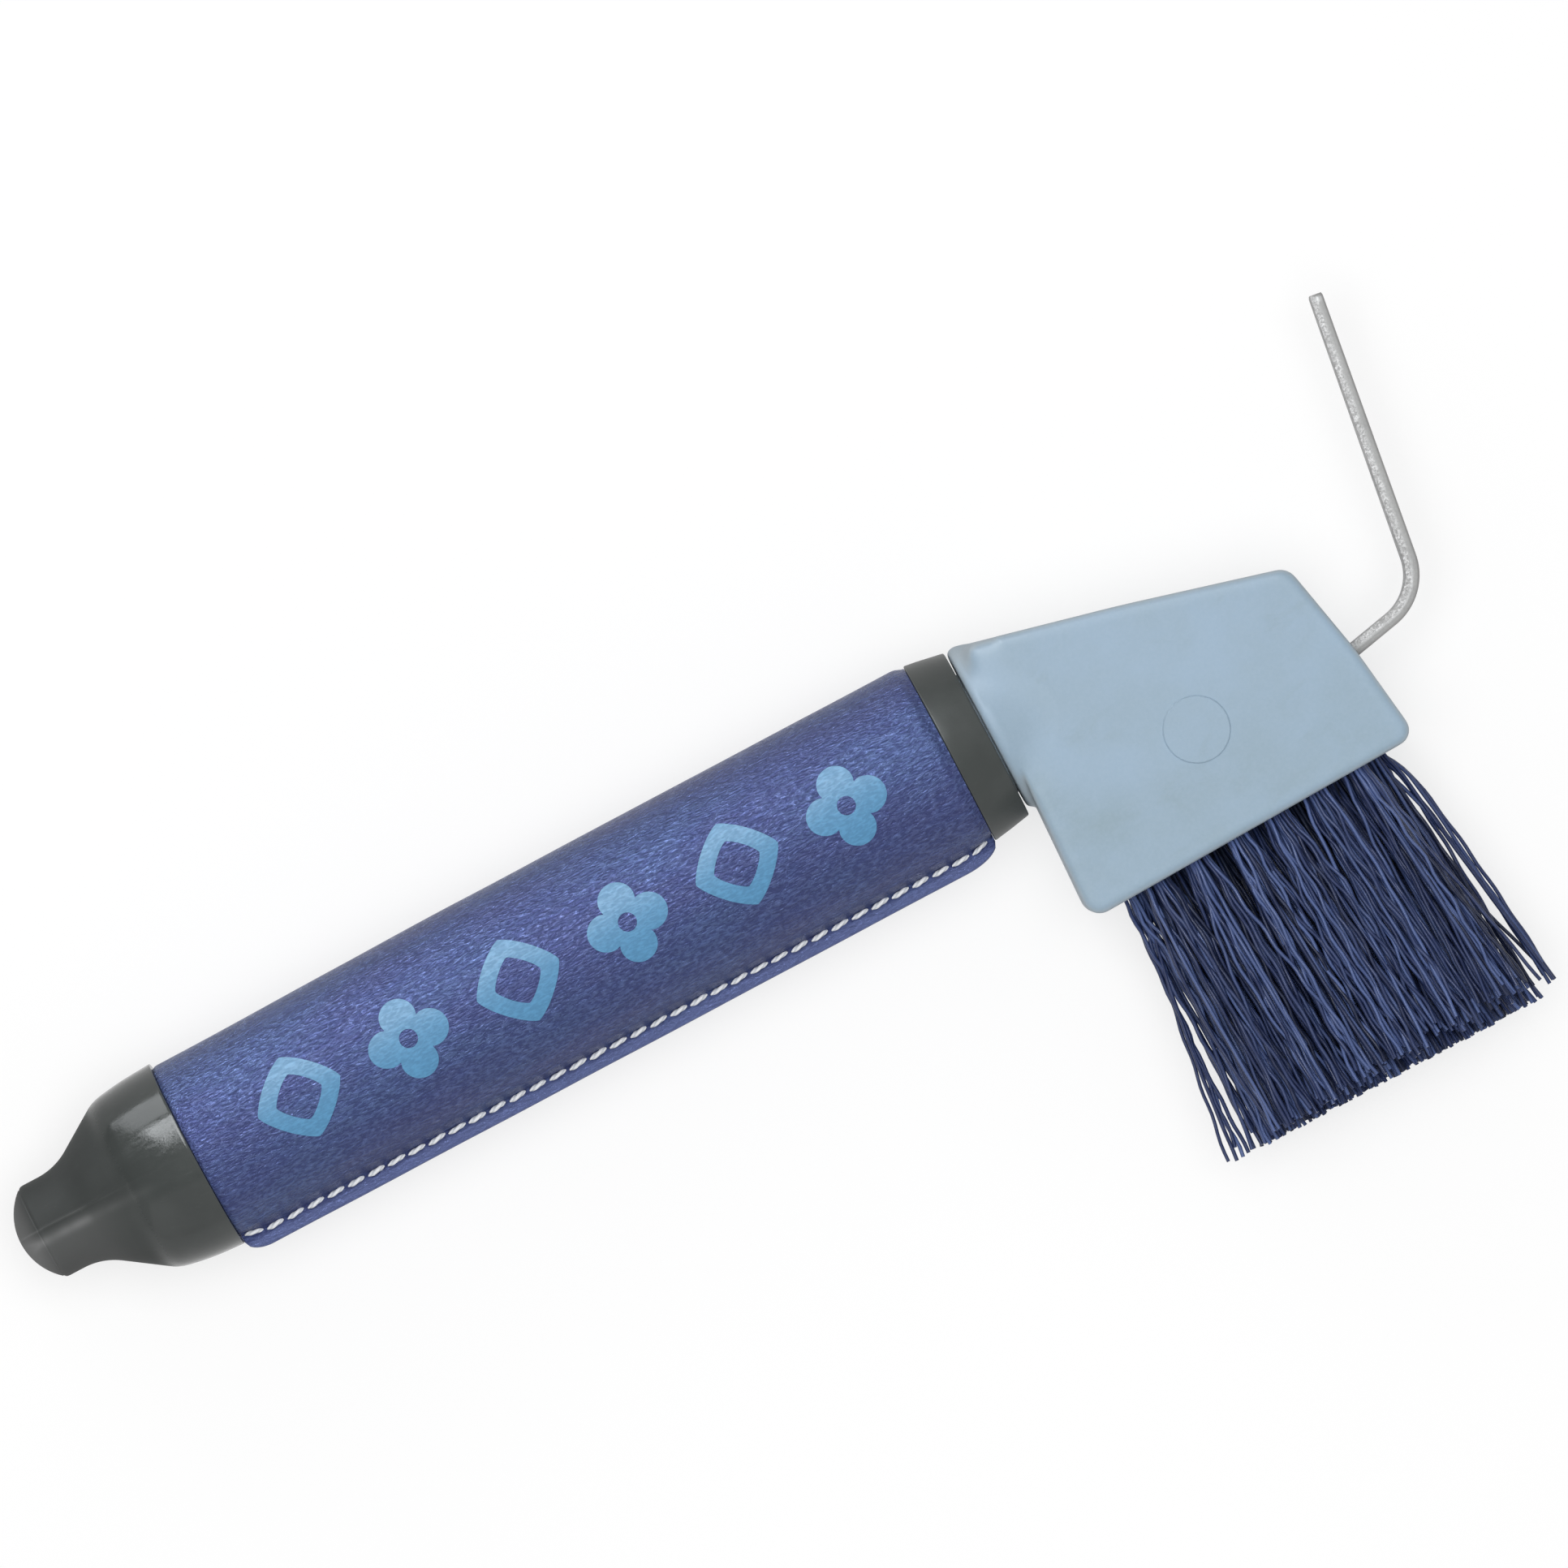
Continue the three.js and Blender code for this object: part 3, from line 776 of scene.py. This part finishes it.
# ---- seam threads
def seam_thread(name, side, material):
    """Plump slanted stitches of two-ply thread, with a short sunk length between them."""
    points, faces, ply = [], [], []
    around, steps = 12, 18

    def strand(middle, length, radius, slope, rise, sink, twist):
        base = len(points)
        for k in range(steps + 1):
            t = k / steps
            swell = math.sin(math.pi * min(max(t, 0.02), 0.98)) ** 0.4
            s = (t - 0.5) * length
            x = middle + s * math.cos(slope)
            y = seam_level(x) + s * math.sin(slope) - 0.02
            z = FLANGE_HALF + STITCH_PROUD - sink + rise * math.sin(math.pi * t)
            for angle in full_turn(around):
                lobe = math.cos(2 * angle - twist * t * length)
                r = radius * swell * (0.92 + 0.13 * lobe)
                points.append((x, y + r * math.sin(angle), side * (z + r * math.cos(angle))))
                # ply: high on a ply's crest, low in the hollow between plies, where shade is painted.
                ply.append(0.5 + 0.5 * lobe)
        faces.extend(tuple(base + i for i in face) for face in capped(around, steps + 1))

    rng = random.Random(31 if side > 0 else 32)
    for middle in stitch_places():
        fat = STITCH_RADIUS * rng.uniform(0.94, 1.06)
        slope = STITCH_SLOPE + math.radians(rng.uniform(-2, 2))
        strand(middle, STITCH_LENGTH * rng.uniform(0.96, 1.04), fat, slope, 0.1, 0.0, 4.2)
        if middle + STITCH_PITCH < SLEEVE_FRONT:
            strand(middle + STITCH_PITCH / 2, 0.8, 0.1, -STITCH_SLOPE, 0.0, 0.5, 6.0)
    mesh = plain_mesh(name, points, faces)
    store(mesh, "ply", ply)
    face_out(mesh)
    finish_piece(name, mesh, material, crisp=80)


# ---- print
def motif(name, middle, outer, inner, material):
    """A thin film on the sleeve between two outlines given as a radius for each angle."""
    film, sunk = 0.05, 0.04
    around, rings = 96, 6
    level = 0.35
    points = []

    def on_sleeve(x, arc, height):
        """A point above the sleeve, at x and at a distance round it from its middle line."""
        angle = math.pi / 2 + arc / GRIP_RADIUS
        r = grip_radius(x, angle) + height
        return (x, -r * math.cos(angle), r * math.sin(angle))

    for outside, height in ((True, film), (False, -sunk)):
        for ring in range(rings + 1):
            t = ring / rings if outside else 1 - ring / rings
            for angle in full_turn(around):
                radius = inner(angle) + t * (outer(angle) - inner(angle))
                lift = height if 0 < t < 1 or not outside else height * 0.6
                arc = level + radius * math.sin(angle)
                points.append(on_sleeve(middle + radius * math.cos(angle), arc, lift))
    mesh = mesh_from(name, points, bridge(around, 2 * (rings + 1), closed=True))
    finish_piece(name, mesh, material, crisp=60)


def lozenge(size):
    """The outline of a slightly rounded lozenge."""
    def radius(angle):
        c, s = abs(math.cos(angle)), abs(math.sin(angle))
        return size / (c ** 1.25 + s ** 1.25) ** (1 / 1.25)
    return radius


def rosette(size, depth):
    """The outline of a four-lobed rosette."""
    def radius(angle):
        return size * (1 - depth + depth * abs(math.cos(2 * angle)) ** 0.8)
    return radius


def grip_print(material):
    """A plain row of six motifs, lozenges and rosettes in turn."""
    wide = MOTIF_SIZE + 0.4
    for i in range(MOTIF_COUNT):
        middle = MOTIF_FIRST + (MOTIF_LAST - MOTIF_FIRST) * i / (MOTIF_COUNT - 1)
        if i % 2:
            outer, inner = rosette(MOTIF_SIZE, 0.42), lambda angle: 1.3
        else:
            outer, inner = lozenge(wide), lozenge(wide - 1.35 * MOTIF_STROKE)
        motif(f"print_{i + 1}", middle, outer, inner, material)


# ---- head
def arc_corner(before, corner, after, radius, steps):
    """Points of the arc that rounds a corner of an outline."""
    corner = Vector(corner)
    back = (Vector(before) - corner).normalized()
    ahead = (Vector(after) - corner).normalized()
    turn = math.pi - back.angle(ahead)
    centre = corner + (back + ahead).normalized() * radius / math.cos(turn / 2)
    start = math.atan2(back.x, -back.y)
    return [
        (centre.x + radius * math.cos(start + turn * k / steps),
         centre.y + radius * math.sin(start + turn * k / steps))
        for k in range(steps + 1)
    ]


def head_outline():
    """The block's outline, counter-clockwise: (x, y) points."""
    corners = [
        (HEAD_REAR_TOP, 1.2, 10),
        (HEAD_REAR_LOW, 2.4, 10),
        (HEAD_FRONT_LOW, 2.2, 10),
        (HEAD_FRONT_MID, 30, 6),
        (HEAD_FRONT_TOP, 2.6, 10),
        (HEAD_BOW, 200, 8),
    ]
    points = []
    for i, (corner, radius, steps) in enumerate(corners):
        before, after = corners[i - 1][0], corners[(i + 1) % len(corners)][0]
        points += arc_corner(before, corner, after, radius, steps)
    return points


def shifted(outline, inset):
    """The outline moved inwards by inset."""
    count = len(outline)
    moved = []
    for i, p in enumerate(outline):
        a, b = Vector(outline[i - 1]), Vector(outline[(i + 1) % count])
        along_edge = (b - a).normalized()
        inwards = Vector((-along_edge.y, along_edge.x))
        q = Vector(p) + inwards * inset
        moved.append((q.x, q.y))
    return moved


def bevelled_plate(outline, half, edge):
    """A plate with rounded rims, centred on the middle plane."""
    steps = 6
    angles = [math.pi / 2 * k / steps for k in range(steps + 1)]
    points = []
    for side, turns in ((-1, angles), (1, angles[::-1])):
        for angle in turns:
            z = side * (half - edge + edge * math.cos(angle))
            points += [(x, y, z) for x, y in shifted(outline, edge * (1 - math.sin(angle)))]
    return points, capped(len(outline), 2 * len(angles))


def drill(x, y, z, radius, length, axis, segments, end_radius=None):
    """A cylinder or cone that starts at a point and runs along an axis."""
    sideways = Vector((0, 0, 1)) if abs(axis[2]) < 0.5 else Vector((1, 0, 0))
    forward = Vector(axis).normalized()
    up = forward.cross(sideways).normalized()
    sideways = up.cross(forward)
    points = []
    for reach, r in ((0.0, radius), (length, end_radius or radius)):
        for angle in full_turn(segments):
            offset = sideways * r * math.cos(angle) + up * r * math.sin(angle)
            points.append(tuple(Vector((x, y, z)) + forward * reach + offset))
    return points, capped(segments, 2)


def box_cutter(low, high):
    """A block between two corners, for cutting."""
    (x0, y0, z0), (x1, y1, z1) = low, high
    square = ((x0, y0), (x1, y0), (x1, y1), (x0, y1))
    return [(x, y, z) for z in (z0, z1) for x, y in square], capped(4, 2)


def brush_face(x):
    """The level of the slightly sloping face that holds the bristles."""
    (x0, y0), (x1, y1) = HEAD_REAR_LOW, HEAD_FRONT_LOW
    return y0 + (x - x0) * (y1 - y0) / (x1 - x0)


def tuft_places():
    """Name, x and z of each tuft hole."""
    places = []
    for row, z, first, count in (("a", 5.4, 16.7, 6), ("b", 0.0, 13.6, 7), ("c", -5.4, 16.7, 6)):
        places += [(f"{row}{i + 1}", first + i * TUFT_PITCH, z) for i in range(count)]
    return places


def gather(parts):
    """Several point and face lists as one."""
    points, faces = [], []
    for some_points, some_faces in parts:
        base = len(points)
        points += some_points
        faces += [tuple(base + i for i in face) for face in some_faces]
    return points, faces


def neck():
    """The neck behind the block, a little flattened, which sinks into the block's flat sides."""
    face = COLLAR_LENGTH + 0.25
    profile = [(face, 0.0), (face, NECK_RADIUS - 0.8), (face + 0.25, NECK_RADIUS - 0.3)]
    profile += [(face + 0.8, NECK_RADIUS), (face + 1.6, NECK_RADIUS - 0.03), (8.6, 12.0), (10.0, 11.63)]
    profile += [(12.0, 11.1), (14.0, 10.75), (17.0, 10.2), (20.0, 9.5), (20.5, 0.0)]
    points, faces = turned(profile, 96, offset=lambda x: NECK_OFFSET - 0.085 * max(x - 8, 0))
    return [(x, y, z * NECK_FLATTENED) for x, y, z in points], faces


def blend_neck(mesh):
    """Relaxes the surface where the neck runs out on the block's flat sides."""
    rounds = 70
    every_way = {"use_axis_x": True, "use_axis_y": True, "use_axis_z": True}
    with editing(mesh) as work:
        near = []
        for v in work.verts:
            x, y = along(v.co.x), across(v.co.y)
            top = HEAD_REAR_TOP[1] - 0.26 * (x - HEAD_REAR_TOP[0])
            height = abs(v.co.z - AXIS.z) / MM
            side = 7.9 < x < 21 and -10.5 < y < top - 1.9 and height > 9.3
            shoulder = 7.1 < x < 13.0 and y > 3 and height > 5.0
            if side or shoulder:
                near.append(v)
        for _ in range(rounds):
            bmesh.ops.smooth_vert(work, verts=near, factor=0.5, **every_way)


def marks_and_crease_shade(vertex):
    """How grey the head is: more so low down and where it is held, and a painted shade in the crease
    under the neck.
    """
    x, y = along(vertex.co.x), across(vertex.co.y)
    low = 0.22 * smooth(-y, 4, 28)
    # Painted shade in the crease where the neck meets the block.
    painted_crease_shade = 0.45 * math.exp(-(((x - 8) / 3) ** 2) - ((y + 10) / 4) ** 2)
    held = 0.4 * math.exp(-(((x - 14) / 5) ** 2) - ((y + 18) / 4.5) ** 2)
    return low + painted_crease_shade + held


def brush_head(material):
    """The moulded block: flat sides, rounded rims, neck and tang, drilled for the tufts."""
    block = gather([bevelled_plate(head_outline(), HEAD_HALF, HEAD_EDGE), neck()])
    piece = add_object("head_blank", mesh_from("head_blank", *block))
    remesh = piece.modifiers.new("join", "REMESH")
    remesh.mode = "VOXEL"
    remesh.voxel_size = 0.36 * MM
    relax = piece.modifiers.new("relax", "SMOOTH")
    relax.factor = 0.5
    relax.iterations = 5
    mesh = applied(piece)
    blend_neck(mesh)

    holes, grooves = [], []
    groove_half, groove_reach = 0.35, 2.65
    for _, x, z in tuft_places():
        face = brush_face(x)
        bottom = face + HOLE_DEPTH - 1.05
        holes.append(drill(x, face - 2, z, HOLE_RADIUS, HOLE_DEPTH + 2, (0, 1, 0), 28))
        grooves.append(box_cutter((x - groove_half, face - 2.5, z - groove_reach),
                                  (x + groove_half, bottom, z + groove_reach)))
    thick, wide = STRIP / 2 + 0.08, PICK_WIDTH / 2 + 0.08
    slot = box_cutter((-PICK_TAIL - 0.1, -thick, -wide), (12, thick, wide))
    turn = Matrix.Rotation(SHANK_ANGLE, 3, "Z")
    slot = ([tuple(turn @ Vector(p) + Vector((*SHANK_ROOT, 0))) for p in slot[0]], slot[1])
    sunk = 0.5
    foot = MOULD_MARK_RADIUS + MOULD_MARK_HEIGHT + sunk
    tall = MOULD_MARK_HEIGHT + sunk
    mark = drill(*MOULD_MARK, HEAD_HALF - sunk, foot, tall, (0, 0, 1), 96, MOULD_MARK_RADIUS)
    fit, bevel = CORE_BORE - BORE_FIT, 0.5
    tang = turned([(TANG_REAR, 0.0), (TANG_REAR, fit - bevel), (TANG_REAR + bevel, fit),
                   (8.0, fit), (8.0, 0.0)], 64)

    piece = add_object("head_body", mesh)
    helpers = []
    for name, cutter, operation in (
        ("holes", gather(holes), "DIFFERENCE"),
        ("grooves", gather(grooves), "DIFFERENCE"),
        ("slot", slot, "DIFFERENCE"),
        ("mark", mark, "UNION"),
        ("tang", tang, "UNION"),
    ):
        helper = add_object("cut_" + name, mesh_from(name, *cutter))
        cut = piece.modifiers.new(name, "BOOLEAN")
        cut.operation = operation
        cut.solver = "EXACT"
        cut.object = helper
        helpers.append(helper)
    mesh = applied(piece)
    for helper in helpers:
        bpy.data.objects.remove(helper)
    # Painted highlight: how far each vertex lies on a rim, for the material to lighten.
    paint(mesh, "rim", lambda v: smooth(1 - abs(v.normal.z), 0.08, 0.6))
    # Grey marks together with the painted crease shade under the neck.
    paint(mesh, "marks_and_painted_shade", marks_and_crease_shade)
    finish_piece("brush_head", mesh, material, crisp=40)


# ---- pick
def pick_route():
    """Stations along the strip's centre line: (x, y), direction and length from the head."""
    start = Vector(SHANK_ROOT)
    along_shank = Vector((math.cos(SHANK_ANGLE), math.sin(SHANK_ANGLE)))
    stations = []
    shank_steps, bend_steps, blade_steps = 90, 60, 220
    for i in range(shank_steps):
        s = -PICK_TAIL + (PICK_TAIL + SHANK_LENGTH) * i / shank_steps
        stations.append((start + along_shank * s, SHANK_ANGLE, s))
    centre = start + along_shank * SHANK_LENGTH + Vector((-along_shank.y, along_shank.x)) * BEND_RADIUS
    bend = BLADE_ANGLE - SHANK_ANGLE
    for i in range(bend_steps + 1):
        angle = SHANK_ANGLE + bend * i / bend_steps
        p = centre + Vector((math.sin(angle), -math.cos(angle))) * BEND_RADIUS
        stations.append((p, angle, SHANK_LENGTH + BEND_RADIUS * bend * i / bend_steps))
    corner, _, s0 = stations[-1]
    along_blade = Vector((math.cos(BLADE_ANGLE), math.sin(BLADE_ANGLE)))
    for i in range(1, blade_steps + 1):
        s = BLADE_LENGTH * i / blade_steps
        stations.append((corner + along_blade * s, BLADE_ANGLE, s0 + s))
    return stations


def pick(material):
    """The bent strip. Its sheared edges are broken on the bend's inner half, smooth outside."""
    stations = pick_route()
    last = stations[-1][2]
    bend_end = SHANK_LENGTH + BEND_RADIUS * (BLADE_ANGLE - SHANK_ANGLE)
    points, sheared = [], []
    # Across the thickness: share of the half thickness, set back from the edge, how broken.
    half_section = [
        (-1.0, 0.14, 0.3), (-0.94, 0.05, 1), (-0.78, 0.05, 1), (-0.6, 0.07, 1), (-0.42, 0.06, 1),
        (-0.24, 0.06, 0.9), (-0.08, 0.04, 0.6), (0.06, 0.0, 0.25), (0.3, 0.0, 0.1), (0.65, 0.0, 0.1),
        (0.9, 0.02, 0.0), (0.97, 0.06, 0.0), (1.0, 0.17, 0.0),
    ]
    section = [(n, 1, back, cut) for n, back, cut in half_section]
    section += [(n, -1, back, cut) for n, back, cut in half_section[::-1]]
    corner = 1.3
    for p, angle, s in stations:
        taper = max(0.0, (s - bend_end + 4) / (last - bend_end + 4))
        near_tip = max(0.0, s - (last - corner)) / corner
        width = PICK_WIDTH + (TIP_WIDTH - PICK_WIDTH) * taper
        width -= corner * (1 - math.sqrt(max(0.0, 1 - near_tip ** 2)))
        half = (STRIP + (STRIP_TIP - STRIP) * taper) / 2
        half *= 1 - 0.1 * smooth(s, last - 0.4, last)
        normal = Vector((math.sin(angle), -math.cos(angle)))
        for n, side, back, cut in section:
            ragged = 0.0
            if cut >= 1:
                ragged = 0.07 * noise.noise(Vector((s * 2.6, n * 3.0, side * 5.0)))
            q = p + normal * n * half
            points.append((q.x, q.y, side * (width / 2 - back + ragged)))
            sheared.append(cut)
    mesh = plain_mesh("pick", points, capped(len(section), len(stations)))
    store(mesh, "sheared", sheared)
    face_out(mesh)
    finish_piece("pick", mesh, material, crisp=30)


# ---- bristles
def filament_route(rng, x, z, tip, end, spread, stray):
    """The centre line of one crimped filament, from inside its hole to its cut end.
    A stray one leaves the tuft soon after it comes out of its hole."""
    scatter = 0.3 if stray else 1.0
    face = brush_face(x) - (0.6 if stray else 0.0)
    out = math.sqrt(rng.random())
    turn = rng.uniform(0, math.tau)
    root = Vector((math.cos(turn), math.sin(turn))) * out
    start = Vector((x, z)) + root * (HOLE_RADIUS - FILAMENT - 0.1)
    flare = root * 0.5
    off = Vector((rng.gauss(0, 0.95), rng.gauss(0, 0.6))) * scatter
    finish = Vector(tip) + Vector((root.x * spread * scatter, root.y * 2.3)) + off
    wave = rng.uniform(6.4, 9.0)
    phase = rng.uniform(0, math.tau)
    height = 0.06 + 0.27 * rng.random() ** 1.5
    plane = rng.uniform(0, math.pi)
    push = Vector((math.cos(plane), math.sin(plane)))
    drift = Vector((rng.gauss(0, 0.55), rng.uniform(-0.7, 0.7))) * scatter
    top = face + 3.0
    steps = 30
    for k in range(steps + 1):
        y = top + (end - top) * k / steps
        free = min(max((face - y) / (face - end), 0.0), 1.0)
        p = start.lerp(finish, free ** 0.6 if stray else free)
        p += flare * smooth(free, 0.0, 0.1) * (1 - free)
        p += drift * math.sin(math.pi * free) * smooth(free, 0, 0.3)
        p += push * height * smooth(free, 0.0, 0.12) * math.sin(math.tau * (y / wave) + phase)
        yield Vector((p.x, y, p.y))


def trim_level(rng, x, z):
    """Where a filament is cut: the row that shows is shorter towards the front."""
    end = TRIM + rng.uniform(-0.25, 0.35)
    if z > 1:
        return end + rng.uniform(0.6, 2.0) + rng.uniform(0.0, 3.6) * smooth(x, 18, 42)
    if z > -1 and rng.random() < 0.3:
        return end + rng.uniform(0.0, 2.4)
    return end


def tuft(name, x, z, material):
    """One hole's worth of crimped filaments, spreading and leaning towards the cut ends.
    Each vertex holds its filament's tone, darkened by a painted shade near the roots between the tufts."""
    rng = random.Random("tuft " + name)
    forward = (x - 13.6) / (6 * TUFT_PITCH)
    middle = x + 1.0 + 2.2 * forward
    strays = STRAYS.get(name, [])
    loose = name == LOOSE_TUFT
    spread = 3.4 if loose else 2.7
    points, faces, tone = [], [], []
    around = 6
    for number in range(LOOSE_FILAMENTS if loose else FILAMENTS):
        tip_x, tip_z = middle, z * 1.24
        stray = number < len(strays)
        end = trim_level(rng, x, z)
        if stray:
            tip_x, end = strays[number]
        elif rng.random() < 0.1:
            tip_x += rng.uniform(-6.0, 6.0)
            tip_z += rng.uniform(-0.5, 2.0)
        route = list(filament_route(rng, x, z, (tip_x, tip_z), end, spread, stray))
        shade = min(max(rng.gauss(0.56, 0.27), 0.15), 1.0)
        base = len(points)
        radius = FILAMENT * rng.uniform(0.92, 1.06)
        for k, p in enumerate(route):
            ahead = (route[min(k + 1, len(route) - 1)] - route[max(k - 1, 0)]).normalized()
            side = ahead.cross(Vector((0, 0, 1))).normalized()
            other = ahead.cross(side)
            # Painted shade: filaments near the roots, deep between the tufts, are darkened.
            painted_root_shade = (1 - smooth(p.z, 1.0, 4.0)) * smooth(p.y, -48, -33)
            painted_root_shade *= smooth(p.x, 13, 17) * (1 - smooth(p.x, 48, 51))
            for angle in full_turn(around):
                rim = side * radius * math.cos(angle) + other * radius * math.sin(angle)
                points.append(tuple(p + rim))
                tone.append(shade * (1 - 0.75 * painted_root_shade))
        faces += [tuple(base + i for i in face) for face in capped(around, len(route))]
    mesh = plain_mesh("tuft_" + name, points, faces)
    store(mesh, "tone", tone)
    finish_piece("tuft_" + name, mesh, material, crisp=70)


# ---- carried-over CAD pieces
def repaint(node, material):
    """Gives a CAD node that stays as it is a detailed material."""
    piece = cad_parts[node]
    piece.data.materials.clear()
    piece.data.materials.append(material)


# ---- stage
def camera():
    """Straight above the tool, rolled so that the grip rises to the right."""
    lens = bpy.data.cameras.new("camera")
    lens.lens = 400
    lens.sensor_width = 36
    view = add_object("camera", lens)
    distance = lens.lens / lens.sensor_width * VIEW_WIDTH * MM
    view.location = place(*VIEW_MIDDLE, 0) + Vector((0, 0, distance))
    view.rotation_euler = (0, 0, VIEW_ROLL)
    lens.clip_start, lens.clip_end = 0.01, 50
    bpy.context.scene.camera = view


def floor():
    """A plain pale floor that glows a little. It gives the tool no bounce light."""
    n = Nodes("floor")
    colour = n.mix(n.noise(0.01, 0.01, 0.01), (146.6, 146.6, 146.6), (151.1, 151.1, 151.1))
    glow = {"Emission_Color": (1, 1, 1, 1), "Emission_Strength": 0.7}
    n.surface(colour, 0.9, Specular_IOR_Level=0.1, **glow)
    side = 3.0
    mesh = bpy.data.meshes.new("floor")
    corners = [(-side, -side, 0), (side, -side, 0), (side, side, 0), (-side, side, 0)]
    mesh.from_pydata(corners, [], [(0, 1, 2, 3)])
    mesh.materials.append(n.material)
    ground = add_object("floor", mesh)
    ground.visible_diffuse = False


def softbox(name, place_at, width, height, radiance, colour=(1, 1, 1), target=(0, 0, 0), mirrored=True):
    """A rectangular light at a point, facing a target, both in metres from the grip's
    front end. A mirrored one only shows in glossy surfaces, and any other only shades."""
    light = bpy.data.lights.new(name, "AREA")
    light.shape = "RECTANGLE"
    light.size, light.size_y = width, height
    light.energy = radiance * math.pi * width * height
    light.color = colour
    lamp = add_object(name, light)
    lamp.visible_glossy = mirrored
    lamp.visible_diffuse = not mirrored
    lamp.location = AXIS + Vector(place_at)
    facing = Vector(target) - Vector(place_at)
    lamp.rotation_mode = "QUATERNION"
    lamp.rotation_quaternion = facing.to_track_quat("-Z", "Y")


def lights():
    """Soft light from above and a little from the pick's side, with panels for the gloss."""
    world = bpy.data.worlds.new("world")
    world.use_nodes = True
    background = world.node_tree.nodes["Background"]
    background.inputs["Color"].default_value = (1, 1, 1, 1)
    background.inputs["Strength"].default_value = 0.3
    bpy.context.scene.world = world
    cool, warm = (0.94, 0.97, 1.0), (1.0, 0.94, 0.95)
    softbox("key", (-0.02, 0.02, 1.2), 0.9, 0.9, 4.6, mirrored=False)
    softbox("side", (-0.02, 0.9, 0.33), 0.7, 0.4, 0.8, mirrored=False)
    softbox("panel_high", (-0.105, 0.5, 1.03), 0.33, 1.34, 16.0, cool, (-0.105, 0, 1.03))
    softbox("panel_low", (-0.1935, 0.5, 0.16), 0.163, 0.29, 6.2, cool, (-0.1935, 0, 0.16))
    softbox("panel_fill", (-0.1, -0.55, 0.55), 1.2, 1.1, 0.5, warm, (-0.1, 0, 0.55))
    softbox("panel_rear", (-0.8, -0.05, 0.32), 0.3, 0.25, 1.0, target=(-0.1, 0, 0))


# ---- the object
bristle = bristle_material()
thread = thread_material()
butt_cap(trim_material("cap_plastic", polished=(LIP - 13, LIP - 8)))
collar(trim_material("collar_plastic"))
sleeve(leather_material())
seam_thread("seam_thread_front", 1, thread)
seam_thread("seam_thread_back", -1, thread)
grip_print(print_material())
brush_head(head_material())
pick(steel_material())
wire = wire_material()
for tuft_name, tuft_x, tuft_z in tuft_places():
    tuft(tuft_name, tuft_x, tuft_z, bristle)
    repaint("anchor_" + tuft_name, wire)
repaint("grip_core", core_material())

camera()
floor()
lights()
bpy.context.scene.view_settings.view_transform = "Standard"
